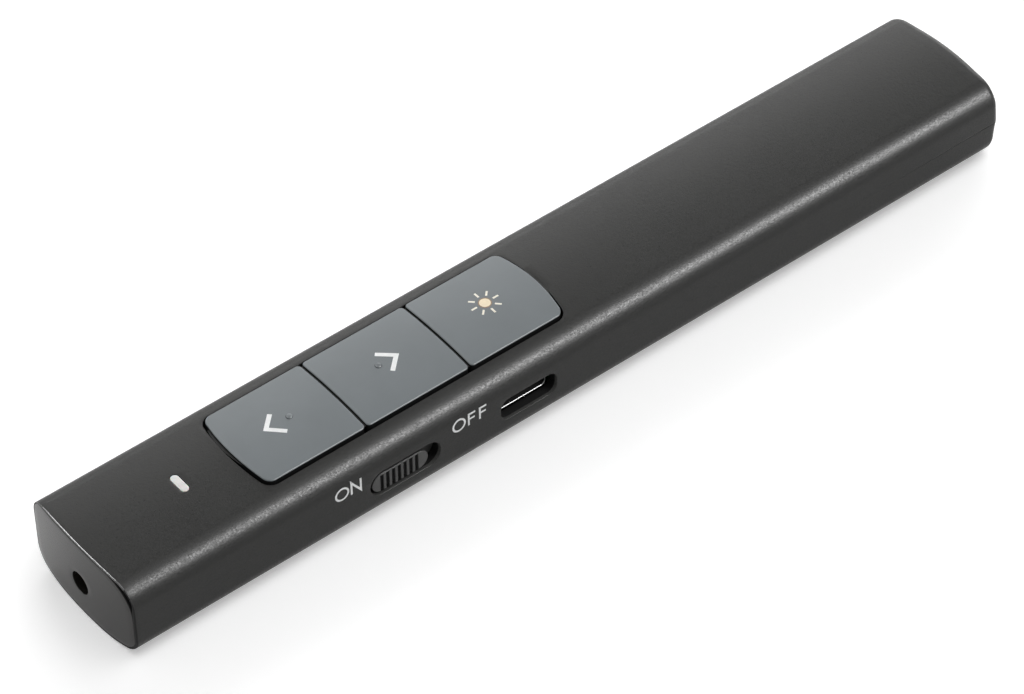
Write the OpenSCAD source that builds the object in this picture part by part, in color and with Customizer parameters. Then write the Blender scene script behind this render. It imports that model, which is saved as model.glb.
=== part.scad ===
// Wireless presentation clicker: a slim bar with three keys, a laser in its nose
// and a slide switch and a charging socket in its side wall.
// Nose at -X, side wall with the switch and the socket at -Y, +Z up.
// Origin under the middle of the bar, on the surface that it lies on. Millimetres.

/* [Body] */
// Length, nose to tail
body_l = 137; // [134:1:150]
// Width across the side walls
body_w = 20.2; // [19.8:0.1:22]
// Height on the centre line
body_h = 12.1; // [11.9:0.1:13.5]
// Drop of the top face from its centre line to the side walls
top_crown = 0.85; // [0.6:0.05:1.1]
// Radius between the top face and a side wall
top_corner_r = 3.2; // [2.6:0.1:3.6]
// Rise of the underside from its flat strip to the side walls
base_crown = 1.2; // [0.8:0.1:1.5]
// Radius between the underside and a side wall
base_corner_r = 2.6; // [2.2:0.1:3]
// Width of the flat strip that the bar rests on
base_flat_w = 7; // [5:0.5:9]
// Bow of the nose, seen from above
nose_bow = 0.75; // [0.5:0.05:1]
// Bow of the tail, seen from above
tail_bow = 0.85; // [0.5:0.05:1.2]
// Radius of the edges around the tail
tail_edge_r = 1.6; // [1:0.1:2]
// Lean of the tail face above the parting line
tail_draft = 0.8; // [0.4:0.1:1]
// Wall of both shells
wall = 1.5; // [1.3:0.1:1.7]
// Height of the parting line between the shells
seam_h = 5.9; // [5.6:0.1:6.3]
// Height of the lip that keys the shells together
lip_h = 0.8; // [0.5:0.1:1]
// Length of each snap bead on the lip
snap_l = 4; // [3:0.5:6]
// Snap beads along each side
snap_count = 4; // [2:1:5]
// Distance from the nose to the first snap bead
snap_from_nose = 8; // [6:0.5:12]
// Distance from the tail to the last snap bead
snap_from_tail = 10; // [8:0.5:14]

/* [Nose cap] */
// Thickness of the cap's face
cap_t = 0.6; // [0.5:0.1:1]
// Gap between the cap's face and the shells
cap_gap = 0.08; // [0.05:0.01:0.2]
// Thin rim of the shells around the cap's face
cap_rim = 0.3; // [0.2:0.05:0.5]
// Radius of the cap's upper corners
cap_corner_r = 4; // [3.2:0.1:4.5]
// Depth of the cap's spigot inside the shells
spigot_l = 2.6; // [2:0.1:3.5]

/* [Laser] */
// Height of the beam
beam_h = 5.1; // [5:0.1:5.6]
// Diameter of the beam hole in the cap
beam_d = 3.1; // [2:0.1:3.4]
// Diameter of the module's barrel
barrel_d = 6; // [5.6:0.1:6.2]
// Length of the module's barrel
barrel_l = 10; // [9:0.5:10.5]
// Distance from the front of the nose to the barrel
barrel_setback = 1.6; // [1.3:0.1:2]

/* [Keys] */
// Length of the row of keys
row_l = 45.6; // [44:0.1:47]
// Width of the keys
key_w = 13.2; // [12.4:0.1:13.4]
// Distance between the gaps that part the keys
key_pitch = 15.5; // [15:0.1:16]
// Distance from the nose to the middle of the row
row_from_nose = 44.7; // [44:0.1:46]
// Gap between two keys
key_gap = 0.35; // [0.3:0.05:0.8]
// Gap between a key and the edge of its pocket
key_clear = 0.35; // [0.25:0.05:0.5]
// Height of the keys over the top face
key_proud = 0.4; // [0.2:0.05:0.6]
// Bow of the row's two ends, seen from above
row_bow = 0.8; // [0.4:0.1:1.2]
// Radius of the row's outer corners
row_corner_r = 1; // [0.6:0.1:1.4]
// Radius of the corners beside the gaps
inner_corner_r = 0.5; // [0.2:0.1:0.8]
// Radius of the upper edges of a key
key_edge_r = 0.2; // [0.15:0.05:0.5]
// Travel of a key
key_travel = 0.25; // [0.15:0.05:0.3]
// Thickness of a key's shell
key_wall = 1.1; // [0.9:0.1:1.3]
// Radius of the raised dot on the two page keys
dot_r = 0.45; // [0.3:0.05:0.6]
// Height of the raised dot
dot_h = 0.22; // [0.1:0.02:0.3]
// Distance of the raised dot behind the middle of the back key
back_dot = 1.3; // [-3:0.05:3]
// Distance of the raised dot behind the middle of the forward key
forward_dot = -0.85; // [-3:0.05:3]

/* [Indicator] */
// Distance from the nose to the window
window_from_nose = 14.5; // [14:0.1:15.5]
// Length of the window, across the bar
window_l = 2.9; // [2.2:0.1:3.4]
// Width of the window
window_w = 1; // [0.8:0.1:1.2]

/* [Power switch] */
// Distance from the nose to the middle of the slot
switch_from_nose = 39.8; // [39:0.1:41]
// Height of the middle of the slot
switch_h = 5.8; // [5.5:0.1:5.9]
// Length of the knob
knob_l = 8.3; // [7.5:0.1:8.6]
// Height of the knob
knob_h = 3.1; // [2.8:0.1:3.8]
// Travel of the knob
knob_travel = 1.5; // [1.2:0.1:2.4]
// Gap between the knob and the slot
knob_clear = 0.35; // [0.15:0.05:0.4]
// Grooves across the knob
groove_count = 7; // [5:1:8]
// Distance between two grooves
groove_pitch = 0.86; // [0.7:0.02:0.9]
// Width of a groove
groove_w = 0.4; // [0.25:0.05:0.5]
// Depth of a groove
groove_d = 0.45; // [0.2:0.05:0.6]

/* [Charging socket] */
// Distance from the nose to the middle of the socket
socket_from_nose = 58.55; // [58:0.1:60]
// Length of the opening in the side wall
socket_slot_l = 8.6; // [8.2:0.1:9.2]
// Height of the opening in the side wall
socket_slot_h = 3.4; // [3:0.1:3.8]
// Radius of the corners of the opening
socket_slot_r = 0.6; // [0.4:0.1:1.4]
// Width of the socket's metal shell
socket_w = 7.4; // [7:0.1:7.8]
// Height of the socket's metal shell
socket_h = 2.6; // [2.4:0.1:2.8]
// Depth of the socket's metal shell
socket_d = 5; // [4.6:0.1:5.2]

/* [Circuit board] */
// Thickness of the board
board_t = 1; // [0.8:0.1:1.2]
// Height of the board's underside
board_h = 3.4; // [3.3:0.05:3.5]
// Length of the board
board_l = 64; // [63:0.5:65]
// Distance from the nose to the board
board_from_nose = 13.5; // [13.4:0.1:13.9]
// Gap between the board and the side walls
board_clear = 1; // [0.9:0.05:1.3]
// Side of a key switch
tact_w = 6; // [5.6:0.1:6.2]
// Gap between the charging socket and the key switch behind it
tact_gap = 0.5; // [0.4:0.1:0.8]
// Height of a key switch without its stem
tact_h = 3.5; // [3:0.1:3.6]
// Diameter of the stem of a key switch
stem_d = 3.5; // [3:0.1:3.8]
// Reach of a key's boss below the key's flange
boss_reach = 0.4; // [0.3:0.05:0.5]

/* [Screws] */
// Diameter of a screw's shank
screw_d = 1.4; // [1.2:0.1:1.6]
// Length of a screw under its head
screw_l = 4.5; // [3.5:0.1:5]
// Diameter of a screw's head
screw_head_d = 2.6; // [2.4:0.1:2.8]
// Height of a screw's head
screw_head_h = 0.8; // [0.6:0.1:0.9]
// Distance between the two screws of a pair
screw_spacing = 10; // [9.6:0.1:10.2]
// Distance from the board's front edge to the front pair
front_inset = 4.5; // [4:0.1:4.8]
// Distance from the board's rear edge to the rear pair
rear_inset = 5.5; // [5:0.1:6]

/* [Battery] */
// Distance from the cell to the tail
cell_from_tail = 10.5; // [9.5:0.5:15]
// Width of the cell
cell_w = 13; // [12:0.1:13.5]
// Thickness of the cell
cell_t = 5; // [4:0.1:5.4]
// Distance from the board to the cell's protection board
cell_gap = 3; // [2.5:0.1:3.4]
// Thickness of the foam pad under the cell
pad_t = 0.5; // [0.4:0.05:0.6]
// Diameter of a lead
lead_d = 1; // [0.8:0.1:1.2]

/* [Hidden] */
$fn = 48;

// Small numbers that several pieces share
eps = 0.02;            // a cutter stands this far over the face that it cuts
fit = 0.1;             // gap between fixed pieces that slide together
run = 0.05;            // radial gap of a sliding stem
far = 200;             // longer than the bar
overrun = 5;           // an outline runs this far past the nose

// Ends of the body
half_w = body_w / 2;
nose_x = -body_l / 2;
tail_x = body_l / 2;
nose_r = bow_radius(half_w, nose_bow);
tail_r = bow_radius(half_w, tail_bow);
shell_nose = cap_t + cap_gap;
tail_foot_r = 1.2;
tail_foot_draft = 0.3;

// Section across the body
top_r = bow_radius(half_w, top_crown);
flat_half = base_flat_w / 2;
base_r = bow_radius(half_w - flat_half, base_crown);
inner_w = half_w - wall;

// Heights of the stack
board_top = board_h + board_t;
ledge_z = body_h - top_crown - wall + 0.25;
flange_t = 0.8;
flange_w = 0.5;
flange_top = ledge_z - fit;
flange_room = key_clear + flange_w + fit;
key_apex = body_h + key_proud;
key_roof = key_apex - key_wall - key_w * key_w / (8 * top_r);
stem_top = flange_top - flange_t - boss_reach;
dome_t = 0.4;
dome_z = board_top + 0.8;

// Row of keys
row_x = nose_x + row_from_nose;
row_start = row_x - row_l / 2;
row_end = row_x + row_l / 2;
gap_1 = row_x - key_pitch / 2;
gap_2 = row_x + key_pitch / 2;
key_starts = [row_start, gap_1 + key_gap / 2, gap_2 + key_gap / 2];
key_ends = [gap_1 - key_gap / 2, gap_2 - key_gap / 2, row_end];
key_bows = [[row_bow, 0], [0, 0], [0, row_bow]];
key_x = [for (i = [0:2]) (key_starts[i] + key_ends[i]) / 2];

// Board
board_x = nose_x + board_from_nose;
board_end = board_x + board_l;
board_half = inner_w - board_clear;
screw_places = [for (x = [board_x + front_inset, board_end - rear_inset], y = [-1, 1])
  [x, y * screw_spacing / 2]];
boss_r = screw_d / 2 + 1;

// Chips
chip = [4, 4, 0.8];
crystal = [2.5, 3.2, 0.7];
chip_gap = 0.6;
chip_y = 3;

// Laser module
barrel_x = nose_x + barrel_setback;
barrel_r = barrel_d / 2;
barrel_end = barrel_x + barrel_l;
barrel_bore = 2.2;
barrel_face = 0.8;
barrel_window = 1.4;
lens_t = 1.4;
cradle_xs = [barrel_x + 3.5, barrel_end - 1.5];

// Indicator
window_x = nose_x + window_from_nose;
led_size = [0.8, 1.6, 0.6];

// Power switch
switch_x = nose_x + switch_from_nose;
slot_l = knob_l + knob_travel + 2 * knob_clear;
slot_h = knob_h + 2 * knob_clear;
knob_x = switch_x - knob_travel / 2;
knob_recess = 0.1;
knob_plate_t = 0.7;
knob_plate_l = slot_l + knob_travel + 1;
knob_plate_h = slot_h + 1;
lever_w = 1.5;
lever_h = 1.5;
lever_l = 1.4;
slide_w = 8.6;
slide_d = 3.2;
slide_y = -board_half + 0.2;
slide_h = 2 * (switch_h - board_top);

// Charging socket
socket_x = nose_x + socket_from_nose;
socket_z = board_top + socket_h / 2 + fit;
socket_mouth = -inner_w + fit;
socket_sheet = 0.3;

// The row of key switches stands behind the socket
tact_y = socket_mouth + socket_d + tact_gap + tact_w / 2;
tact_rib_over = 2;

// Battery
protect_size = [1, 10, 3];
protect_x = board_end + cell_gap;
cell_x = protect_x + protect_size.x;
cell_end = tail_x - cell_from_tail;
cell_l = cell_end - cell_x;
seat_z = 2.6;
cell_z = seat_z + pad_t;
cell_ribs = [for (k = [0.1, 0.5, 0.9]) cell_x + k * cell_l];
rib_t = 1;

// Snap beads
snap_zone = [nose_x + snap_from_nose, tail_x - snap_from_tail];
snap_out = 0.25;
snap_rise = 0.3;

SHELL = [0.21, 0.21, 0.21];
KEY = [0.47, 0.5, 0.51];
CAP = [0.33, 0.32, 0.31];
METAL = [0.75, 0.75, 0.77];

// Radius of an arc over a half chord with the given rise
function bow_radius(half, rise) = (half * half + rise * rise) / (2 * rise);

function arc(c, r, from, to, n) =
  [for (i = [0:n]) let (a = from + (to - from) * i / n) [c.x + r * cos(a), c.y + r * sin(a)]];

function mirrored(pts) =
  concat(pts, [for (i = [len(pts) - 1:-1:0]) if (abs(pts[i].x) > eps) [-pts[i].x, pts[i].y]]);

// Right half of a crowned top: a corner arc from the side wall, then the crown to the centre line
function crown_half(half, corner, apex, crown) =
  let (c = [0, apex - crown])
  let (cy = half - corner)
  let (k = [cy, c.y + sqrt(pow(crown - corner, 2) - cy * cy)])
  let (tilt = atan2(k.y - c.y, cy))
  concat(arc(k, corner, 0, tilt, 8), [for (p = arc(c, crown, tilt, 90, 6)) if (p.x < cy) p]);

// Right half of the underside: the flat strip, the rising arc and the foot corner
function base_half(inset) =
  let (fy = half_w - base_corner_r)
  let (fz = base_r - sqrt(pow(base_r - base_corner_r, 2) - pow(fy - flat_half, 2)))
  let (tilt = atan2(fz - base_r, fy - flat_half))
  concat(
    arc([flat_half, base_r], base_r - inset, -90, tilt, 4),
    [for (i = [1:7]) let (a = tilt * (1 - i / 7))
      [fy + (base_corner_r - inset) * cos(a), fz + (base_corner_r - inset) * sin(a)]]
  );

// Outline across the body in Y and Z, pulled in on every side
function section(inset) =
  mirrored(concat(
    base_half(inset),
    crown_half(half_w - inset, top_corner_r - inset, body_h - inset, top_r - inset)
  ));

// Outline of the body from above, pulled in at the sides and the tail; it runs past the nose
function plan(inset) =
  let (w = half_w - inset)
  let (e = max(tail_edge_r - inset, 0.3))
  let (tr = tail_r - inset)
  let (tx = tail_x - tail_r)
  let (kx = tx + sqrt(pow(tr - e, 2) - pow(w - e, 2)))
  let (tilt = atan2(w - e, kx - tx))
  concat(
    [[nose_x - overrun, -w]],
    arc([kx, -(w - e)], e, -90, -tilt, 5),
    [for (i = [1:9]) let (a = -tilt + 2 * tilt * i / 10) [tx + tr * cos(a), tr * sin(a)]],
    arc([kx, w - e], e, tilt, 90, 5),
    [[nose_x - overrun, w]]
  );

// Half profile of the tail, turned about the centre of its bow
function tail_profile() =
  let (r = tail_r)
  let (lean = atan2(tail_draft, body_h - tail_edge_r - seam_h))
  concat(
    [[0, -eps], [r - tail_foot_draft - tail_foot_r, -eps]],
    arc([r - tail_foot_draft - tail_foot_r, tail_foot_r - eps], tail_foot_r, -75, 0, 4),
    [[r, seam_h]],
    arc([r - tail_draft - tail_edge_r, body_h - tail_edge_r + eps], tail_edge_r, lean, 90, 6),
    [[0, body_h + eps]]
  );

// Rounds the corners of an outline, one radius for each corner
function rounded(pts, radii, n) =
  [for (i = [0:len(pts) - 1])
    let (p = pts[i])
    let (a = unit(pts[(i + len(pts) - 1) % len(pts)] - p))
    let (b = unit(pts[(i + 1) % len(pts)] - p))
    let (half = acos(a * b) / 2)
    let (r = radii[i])
    let (c = p + unit(a + b) * r / sin(half))
    let (from = atan2((p + a * r / tan(half) - c).y, (p + a * r / tan(half) - c).x))
    let (turn = 180 - 2 * half)
    each r == 0 ? [p] : arc(c, r, from, from + turn, n)];

function unit(v) = v / norm(v);

// Outline of a key or of the pocket from above, with bowed ends
function key_outline(start, end, bows, w, radii) =
  let (half = w / 2)
  let (head = bow_edge(start, half, -bows[0]))
  let (tail = bow_edge(end, half, bows[1]))
  let (ring = concat(head, [for (i = [len(tail) - 1:-1:0]) tail[i]]))
  let (n = len(head))
  rounded(ring, [for (i = [0:len(ring) - 1])
    i == 0 || i == n - 1 ? radii[0] : i == n || i == len(ring) - 1 ? radii[1] : 0], 4);

// Points of one end, from +Y to -Y, bowed by the given amount along X
function bow_edge(x, half, bow) =
  bow == 0 ? [[x, half], [x, -half]] :
  [for (i = [0:6]) let (y = half * (1 - i / 3)) [x - bow * pow(y / half, 2), y]];

module along_x(from, length) {
  translate([from, 0, 0]) rotate([90, 0, 90]) linear_extrude(length) children();
}

module along_y(from, length) {
  translate([0, from + length, 0]) rotate([90, 0, 0]) linear_extrude(length) children();
}

module upright(from, to) {
  translate([0, 0, from]) linear_extrude(to - from) children();
}

module block(size, at) {
  translate([at.x - size.x / 2, at.y - size.y / 2, at.z]) cube(size);
}

module slot_2d(l, h, r) {
  translate([-l / 2 + r, -h / 2]) square([l - 2 * r, h]);
  translate([-l / 2, -h / 2 + r]) square([l, h - 2 * r]);
  for (x = [-1, 1], y = [-1, 1]) translate([x * (l / 2 - r), y * (h / 2 - r)]) circle(r = r);
}

module obround_2d(l, h) {
  square([l - h, h], center = true);
  for (x = [-1, 1]) translate([x * (l - h) / 2, 0]) circle(d = h);
}

// Everything behind the nose arc, set back by the given depth
module behind_nose(depth) {
  translate([nose_x + nose_r, 0, -1]) cylinder(r = nose_r - depth, h = body_h + 2, $fn = 96);
  translate([nose_x + nose_r, -body_w, -1]) cube([far, 2 * body_w, body_h + 2]);
}

// The outer form of the bar
module blank() {
  intersection() {
    along_x(nose_x - 1, body_l + 2) polygon(section(0));
    upright(-1, body_h + 1) polygon(plan(0));
    translate([tail_x - tail_r, 0, 0]) union() {
      rotate_extrude($fn = 96) polygon(tail_profile());
      translate([-far, -body_w, -1]) cube([far, 2 * body_w, body_h + 2]);
    }
  }
}

// The space inside the shells, or a face inside their walls, open at the nose
module core(inset) {
  intersection() {
    along_x(nose_x - 1, body_l + 2) polygon(section(inset));
    upright(-1, body_h + 1) polygon(plan(inset));
  }
}

// A slab that keeps what lies between two heights
module between(low, high) {
  translate([-far / 2, -body_w, low]) cube([far, 2 * body_w, high - low]);
}

// Snap beads along both sides of the lip; grow makes the recesses that they click into
module snap_beads(grow) {
  step = (snap_zone[1] - snap_zone[0]) / (snap_count - 1);
  root = half_w - wall / 2 - fit;
  for (i = [0:snap_count - 1], s = [-1, 1]) {
    x = snap_zone[0] + i * step;
    z = seam_h + lip_h / 2;
    along_x(x - snap_l / 2 - grow, snap_l + 2 * grow)
      polygon([
        [s * (root - fit), z - snap_rise - grow],
        [s * (root + snap_out + grow), z],
        [s * (root - fit), z + snap_rise + grow]
      ]);
  }
}

// Openings in the side wall for the knob and the charging plug
module side_openings() {
  along_y(-half_w - 1, wall + 1.5) {
    translate([switch_x, switch_h]) obround_2d(slot_l, slot_h);
    translate([socket_x, socket_z]) slot_2d(socket_slot_l, socket_slot_h, socket_slot_r);
  }
}

// The recess in the front of the shells that the cap's face fills
module cap_seat() {
  difference() {
    along_x(nose_x - 1, overrun) polygon(section(cap_rim));
    behind_nose(shell_nose);
  }
}

module upper_housing() {
  color(SHELL) difference() {
    union() {
      difference() {
        intersection() {
          blank();
          behind_nose(0);
          between(seam_h, body_h + 1);
        }
        cap_seat();
        core(wall);
        intersection() {
          core(wall / 2);
          between(seam_h - 1, seam_h + lip_h + fit);
        }
      }
      upper_supports();
    }
    snap_beads(run);
    side_openings();
    upright(ledge_z - 1, body_h + 1)
      polygon(key_outline(row_start - key_clear, row_end + key_clear, [row_bow, row_bow],
        key_w + 2 * key_clear, [row_corner_r + key_clear, row_corner_r + key_clear]));
    block([row_l + 2 * flange_room, key_w + 2 * flange_room, 2], [row_x, 0, ledge_z - 2]);
    translate([window_x, 0, body_h / 2]) linear_extrude(body_h)
      rotate(90) obround_2d(window_l, window_w);
    for (p = screw_places) translate([p.x, p.y, board_h]) cylinder(d = screw_d + fit, h = screw_l + fit);
  }
}

// Screw bosses, the ribs over the cell and the rib over the laser barrel
module upper_supports() {
  intersection() {
    core(wall - fit);
    union() {
      for (p = screw_places) translate([p.x, p.y, board_top]) cylinder(r = boss_r, h = body_h);
      for (x = [cell_ribs[0], cell_ribs[2]])
        block([rib_t, cell_w - 2, body_h], [x, 0, cell_z + cell_t + fit]);
      difference() {
        block([rib_t, barrel_d + 3, body_h], [cradle_xs[1], 0, beam_h + 1]);
        along_x(cradle_xs[1] - rib_t, 2 * rib_t) translate([0, beam_h]) circle(r = barrel_r + run);
      }
    }
  }
}

module lower_housing() {
  color(SHELL) difference() {
    union() {
      difference() {
        intersection() {
          blank();
          behind_nose(0);
          between(-1, seam_h);
        }
        cap_seat();
        core(wall);
      }
      difference() {
        intersection() {
          core(wall / 2 + fit);
          behind_nose(shell_nose);
          between(seam_h - 1, seam_h + lip_h);
        }
        core(wall);
      }
      snap_beads(0);
      lower_supports();
    }
    side_openings();
  }
}

// Cradles under the laser barrel, ribs under the board and ribs under the cell
module lower_supports() {
  intersection() {
    core(wall - fit);
    union() {
      difference() {
        for (x = cradle_xs) block([rib_t, barrel_d + 3, beam_h], [x, 0, 0]);
        along_x(barrel_x - 1, barrel_l + 2) translate([0, beam_h]) circle(r = barrel_r + run);
      }
      for (x = key_x) block([rib_t, tact_w + 2 * tact_rib_over, board_h], [x, tact_y, 0]);
      for (x = cell_ribs) block([rib_t, cell_w, seat_z], [x, 0, 0]);
    }
  }
}

// Outline of the cap's face, with upper corners rounder than those of its recess
function cap_outline(inset) =
  mirrored(concat(base_half(inset), crown_half(half_w - inset, cap_corner_r, body_h - inset, top_r - inset)));

module nose_cap() {
  color(CAP) difference() {
    union() {
      difference() {
        intersection() {
          along_x(nose_x - 1, overrun) polygon(cap_outline(cap_rim + cap_gap));
          behind_nose(0);
        }
        behind_nose(cap_t);
      }
      difference() {
        intersection() {
          along_x(nose_x + cap_t / 2, spigot_l + cap_t / 2) polygon(section(wall + fit));
          behind_nose(cap_t / 2);
        }
        along_x(barrel_x, far) translate([0, beam_h]) circle(r = barrel_r + run);
      }
    }
    along_x(nose_x - 1, far) translate([0, beam_h]) circle(d = beam_d);
  }
}

module indicator_lens() {
  stem_low = board_top + led_size.z + fit;
  shoulder = 0.6;
  color("white") {
    intersection() {
      core(0);
      translate([window_x, 0, stem_low]) linear_extrude(body_h)
        rotate(90) obround_2d(window_l - 2 * run, window_w - 2 * run);
    }
    block([window_w + 1, window_l + 1, shoulder], [window_x, 0, body_h - wall - shoulder - fit]);
  }
}

// One key: a crowned cap with a flange under the pocket's edge and a boss over its switch
module key(i) {
  radii = [i == 0 ? row_corner_r : inner_corner_r, i == 2 ? row_corner_r : inner_corner_r];
  start = key_starts[i];
  end = key_ends[i];
  color(KEY) {
    difference() {
      union() {
        intersection() {
          upright(flange_top - flange_t, key_apex + 1)
            polygon(key_outline(start, end, key_bows[i], key_w, radii));
          along_x(start - 1, end - start + 2) polygon(mirrored(concat(
            [[0, 0], [key_w / 2, 0]], crown_half(key_w / 2, key_edge_r, key_apex, top_r + key_proud))));
          along_y(-key_w, 2 * key_w) polygon(rounded(
            [[start, 0], [end, 0], [end, key_apex + eps], [start, key_apex + eps]],
            [0, 0, key_edge_r, key_edge_r], 4));
        }
        key_flange(i);
      }
      difference() {
        upright(flange_top - flange_t - 1, key_roof)
          polygon(key_outline(start + key_wall, end - key_wall, key_bows[i], key_w - 2 * key_wall, radii));
        translate([key_x[i], tact_y, 0]) cylinder(d = stem_d, h = far);
      }
    }
    translate([key_x[i], tact_y, stem_top]) cylinder(d = stem_d, h = key_roof - stem_top + eps);
  }
}

// The flange reaches under the pocket's edge, and stops short of the next key
module key_flange(i) {
  reach = key_clear + flange_w;
  low = i == 0 ? reach : 0;
  high = i == 2 ? reach : 0;
  upright(flange_top - flange_t, flange_top)
    polygon(key_outline(key_starts[i] - low, key_ends[i] + high, key_bows[i], key_w + 2 * reach,
      [inner_corner_r, inner_corner_r]));
}

// A raised dot on the top of a page key
module dot(x) {
  bulge = bow_radius(dot_r, dot_h);
  color(KEY) translate([x, 0, key_apex + dot_h - bulge]) intersection() {
    sphere(r = bulge);
    translate([0, 0, bulge - dot_h - 0.2]) cylinder(r = dot_r, h = 1);
  }
}

module back_button() {
  key(0);
  dot(key_x[0] + back_dot);
}

module forward_button() {
  key(1);
  dot(key_x[1] + forward_dot);
}

module laser_button() {
  key(2);
}

module switch_knob() {
  face = -half_w + knob_recess;
  plate_y = -inner_w + fit;
  color(SHELL) difference() {
    union() {
      along_y(face, plate_y + knob_plate_t - face) translate([knob_x, switch_h]) obround_2d(knob_l, knob_h);
      along_y(plate_y, knob_plate_t) translate([knob_x, switch_h])
        square([knob_plate_l, knob_plate_h], center = true);
    }
    for (k = [0:groove_count - 1])
      translate([knob_x + (k - (groove_count - 1) / 2) * groove_pitch - groove_w / 2, face - 1, 0])
        cube([groove_w, 1 + groove_d, body_h]);
    translate([knob_x - lever_w / 2, slide_y - lever_l, switch_h - lever_h / 2])
      cube([lever_w, wall + 1, lever_h]);
  }
}

module circuit_board() {
  color("darkgreen") difference() {
    upright(board_h, board_top) polygon(rounded(
      [[board_x, -board_half], [board_end, -board_half], [board_end, board_half], [board_x, board_half]],
      [1, 1, 1, 1], 4));
    for (p = screw_places) translate([p.x, p.y, 0]) cylinder(d = screw_d + 2 * fit, h = body_h);
  }
}

module board_screws() {
  color(METAL) for (p = screw_places) translate([p.x, p.y, board_h]) difference() {
    union() {
      cylinder(d = screw_d, h = screw_l);
      translate([0, 0, -screw_head_h]) cylinder(d = screw_head_d, h = screw_head_h);
    }
    for (a = [0, 90]) translate([0, 0, -screw_head_h - eps]) rotate(a)
      translate([-screw_d / 2, -0.15, 0]) cube([screw_d, 0.3, screw_head_h / 2]);
  }
}

// A key switch: its case has a round well for the stem
module tact_switch(i) {
  color("dimgray") difference() {
    block([tact_w, tact_w, tact_h], [key_x[i], tact_y, board_top]);
    translate([key_x[i], tact_y, dome_z]) cylinder(d = stem_d + 2 * run, h = tact_h);
  }
}

module back_switch() {
  tact_switch(0);
}

module forward_switch() {
  tact_switch(1);
}

module laser_switch() {
  tact_switch(2);
}

// The stem stands on the snap dome and carries the boss of its key
module stem(i) {
  low = dome_z + dome_t + key_travel + run;
  color("black") translate([key_x[i], tact_y, low]) cylinder(d = stem_d, h = stem_top - low);
}

module back_stem() {
  stem(0);
}

module forward_stem() {
  stem(1);
}

module laser_stem() {
  stem(2);
}

// Snap domes at the bottom of the three wells
module switch_domes() {
  rim = stem_d / 2 - fit;
  bulge = bow_radius(rim, dome_t);
  color(METAL) for (x = key_x) translate([x, tact_y, dome_z]) rotate_extrude()
    polygon(concat([[0, 0]], arc([0, dome_t - bulge], bulge, 90 - asin(rim / bulge), 90, 5)));
}

module status_led() {
  color("lightyellow") block(led_size, [window_x, 0, board_top]);
}

module laser_barrel() {
  color([0.78, 0.64, 0.35]) difference() {
    along_x(barrel_x, barrel_l) translate([0, beam_h]) circle(r = barrel_r);
    along_x(barrel_x - 1, far) translate([0, beam_h]) circle(r = barrel_window);
    along_x(barrel_x + barrel_face, far) translate([0, beam_h]) circle(r = barrel_bore);
  }
}

// Flat at the front, domed towards the diode
module laser_lens() {
  rim = barrel_bore - run;
  dome = 0.7;
  bulge = bow_radius(rim, dome);
  color([0.8, 0.9, 0.95]) translate([barrel_x + barrel_face, 0, beam_h]) rotate([0, 90, 0]) {
    cylinder(r = rim, h = lens_t - dome);
    intersection() {
      translate([0, 0, lens_t - bulge]) sphere(r = bulge, $fn = 64);
      cylinder(r = rim, h = lens_t);
    }
  }
}

module laser_diode() {
  can_r = 1.6;
  can_l = 2.4;
  flange = 1.1;
  lead_r = 0.2;
  lead_l = window_x - window_w / 2 - fit - barrel_end;
  lead_y = 1.3;
  color(METAL) translate([barrel_end - flange, 0, beam_h]) rotate([0, 90, 0]) {
    cylinder(r = barrel_bore - run, h = flange);
    translate([0, 0, -can_l]) cylinder(r = can_r, h = can_l);
    for (s = [-1, 1]) translate([0, s * lead_y, 0]) cylinder(r = lead_r, h = flange + lead_l);
  }
}

module slide_switch() {
  color(METAL) difference() {
    translate([switch_x - slide_w / 2, slide_y, board_top]) cube([slide_w, slide_d, slide_h]);
    translate([switch_x - (lever_w + knob_travel) / 2 - fit, slide_y - 1, switch_h - lever_h / 2 - fit])
      cube([lever_w + knob_travel + 2 * fit, 2, lever_h + 2 * fit]);
  }
}

module slide_lever() {
  color("black") translate([knob_x - lever_w / 2, slide_y - lever_l, switch_h - lever_h / 2])
    cube([lever_w, lever_l + 1 - fit, lever_h]);
}

// Outline of the socket: wide at the bottom, with slanted upper corners
function socket_outline(inset) =
  let (w = socket_w / 2 - inset)
  let (h = socket_h / 2 - inset)
  rounded(
    [[-w, -h], [w, -h], [w, h * 0.2], [w * 0.8, h], [-w * 0.8, h], [-w, h * 0.2]],
    [0.3, 0.3, 0.3, 0.3, 0.3, 0.3], 3);

module usb_shell() {
  color(METAL) translate([socket_x, 0, socket_z]) difference() {
    union() {
      along_y(socket_mouth, socket_d) polygon(socket_outline(0));
      for (x = [-1, 1]) translate([x * socket_w / 3 - 0.5, socket_mouth + 1, board_top - socket_z])
        cube([1, socket_d - 1.5, fit + socket_sheet / 2]);
    }
    along_y(socket_mouth - 1, socket_d + 1 - socket_sheet) polygon(socket_outline(socket_sheet));
  }
}

module usb_tongue() {
  tongue = [3.7, socket_d - 1.2, 0.7];
  base = [socket_w * 0.75, 1, socket_h - 3 * socket_sheet];
  back = socket_mouth + socket_d - socket_sheet;
  color("black") translate([socket_x, 0, socket_z]) {
    translate([-tongue.x / 2, back - tongue.y, 0]) cube(tongue);
    translate([-base.x / 2, back - base.y, -base.z / 2]) cube(base);
  }
}

// Five contacts under the tongue
module usb_contacts() {
  contact = [0.3, socket_d - 3, 0.2];
  pitch = 0.65;
  start = socket_mouth + 1.5;
  color("gold") for (k = [-2:2])
    translate([socket_x + k * pitch - contact.x / 2, start, socket_z - contact.z]) cube(contact);
}

// The chip and the crystal share the space between the two page keys' switches
module controller_chip() {
  color("black") block(chip, [(key_x[0] + key_x[1] - chip_gap - crystal.x) / 2, chip_y, board_top]);
}

module radio_crystal() {
  color(METAL) block(crystal, [(key_x[0] + key_x[1] + chip_gap + chip.x) / 2, chip_y, board_top]);
}

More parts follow.
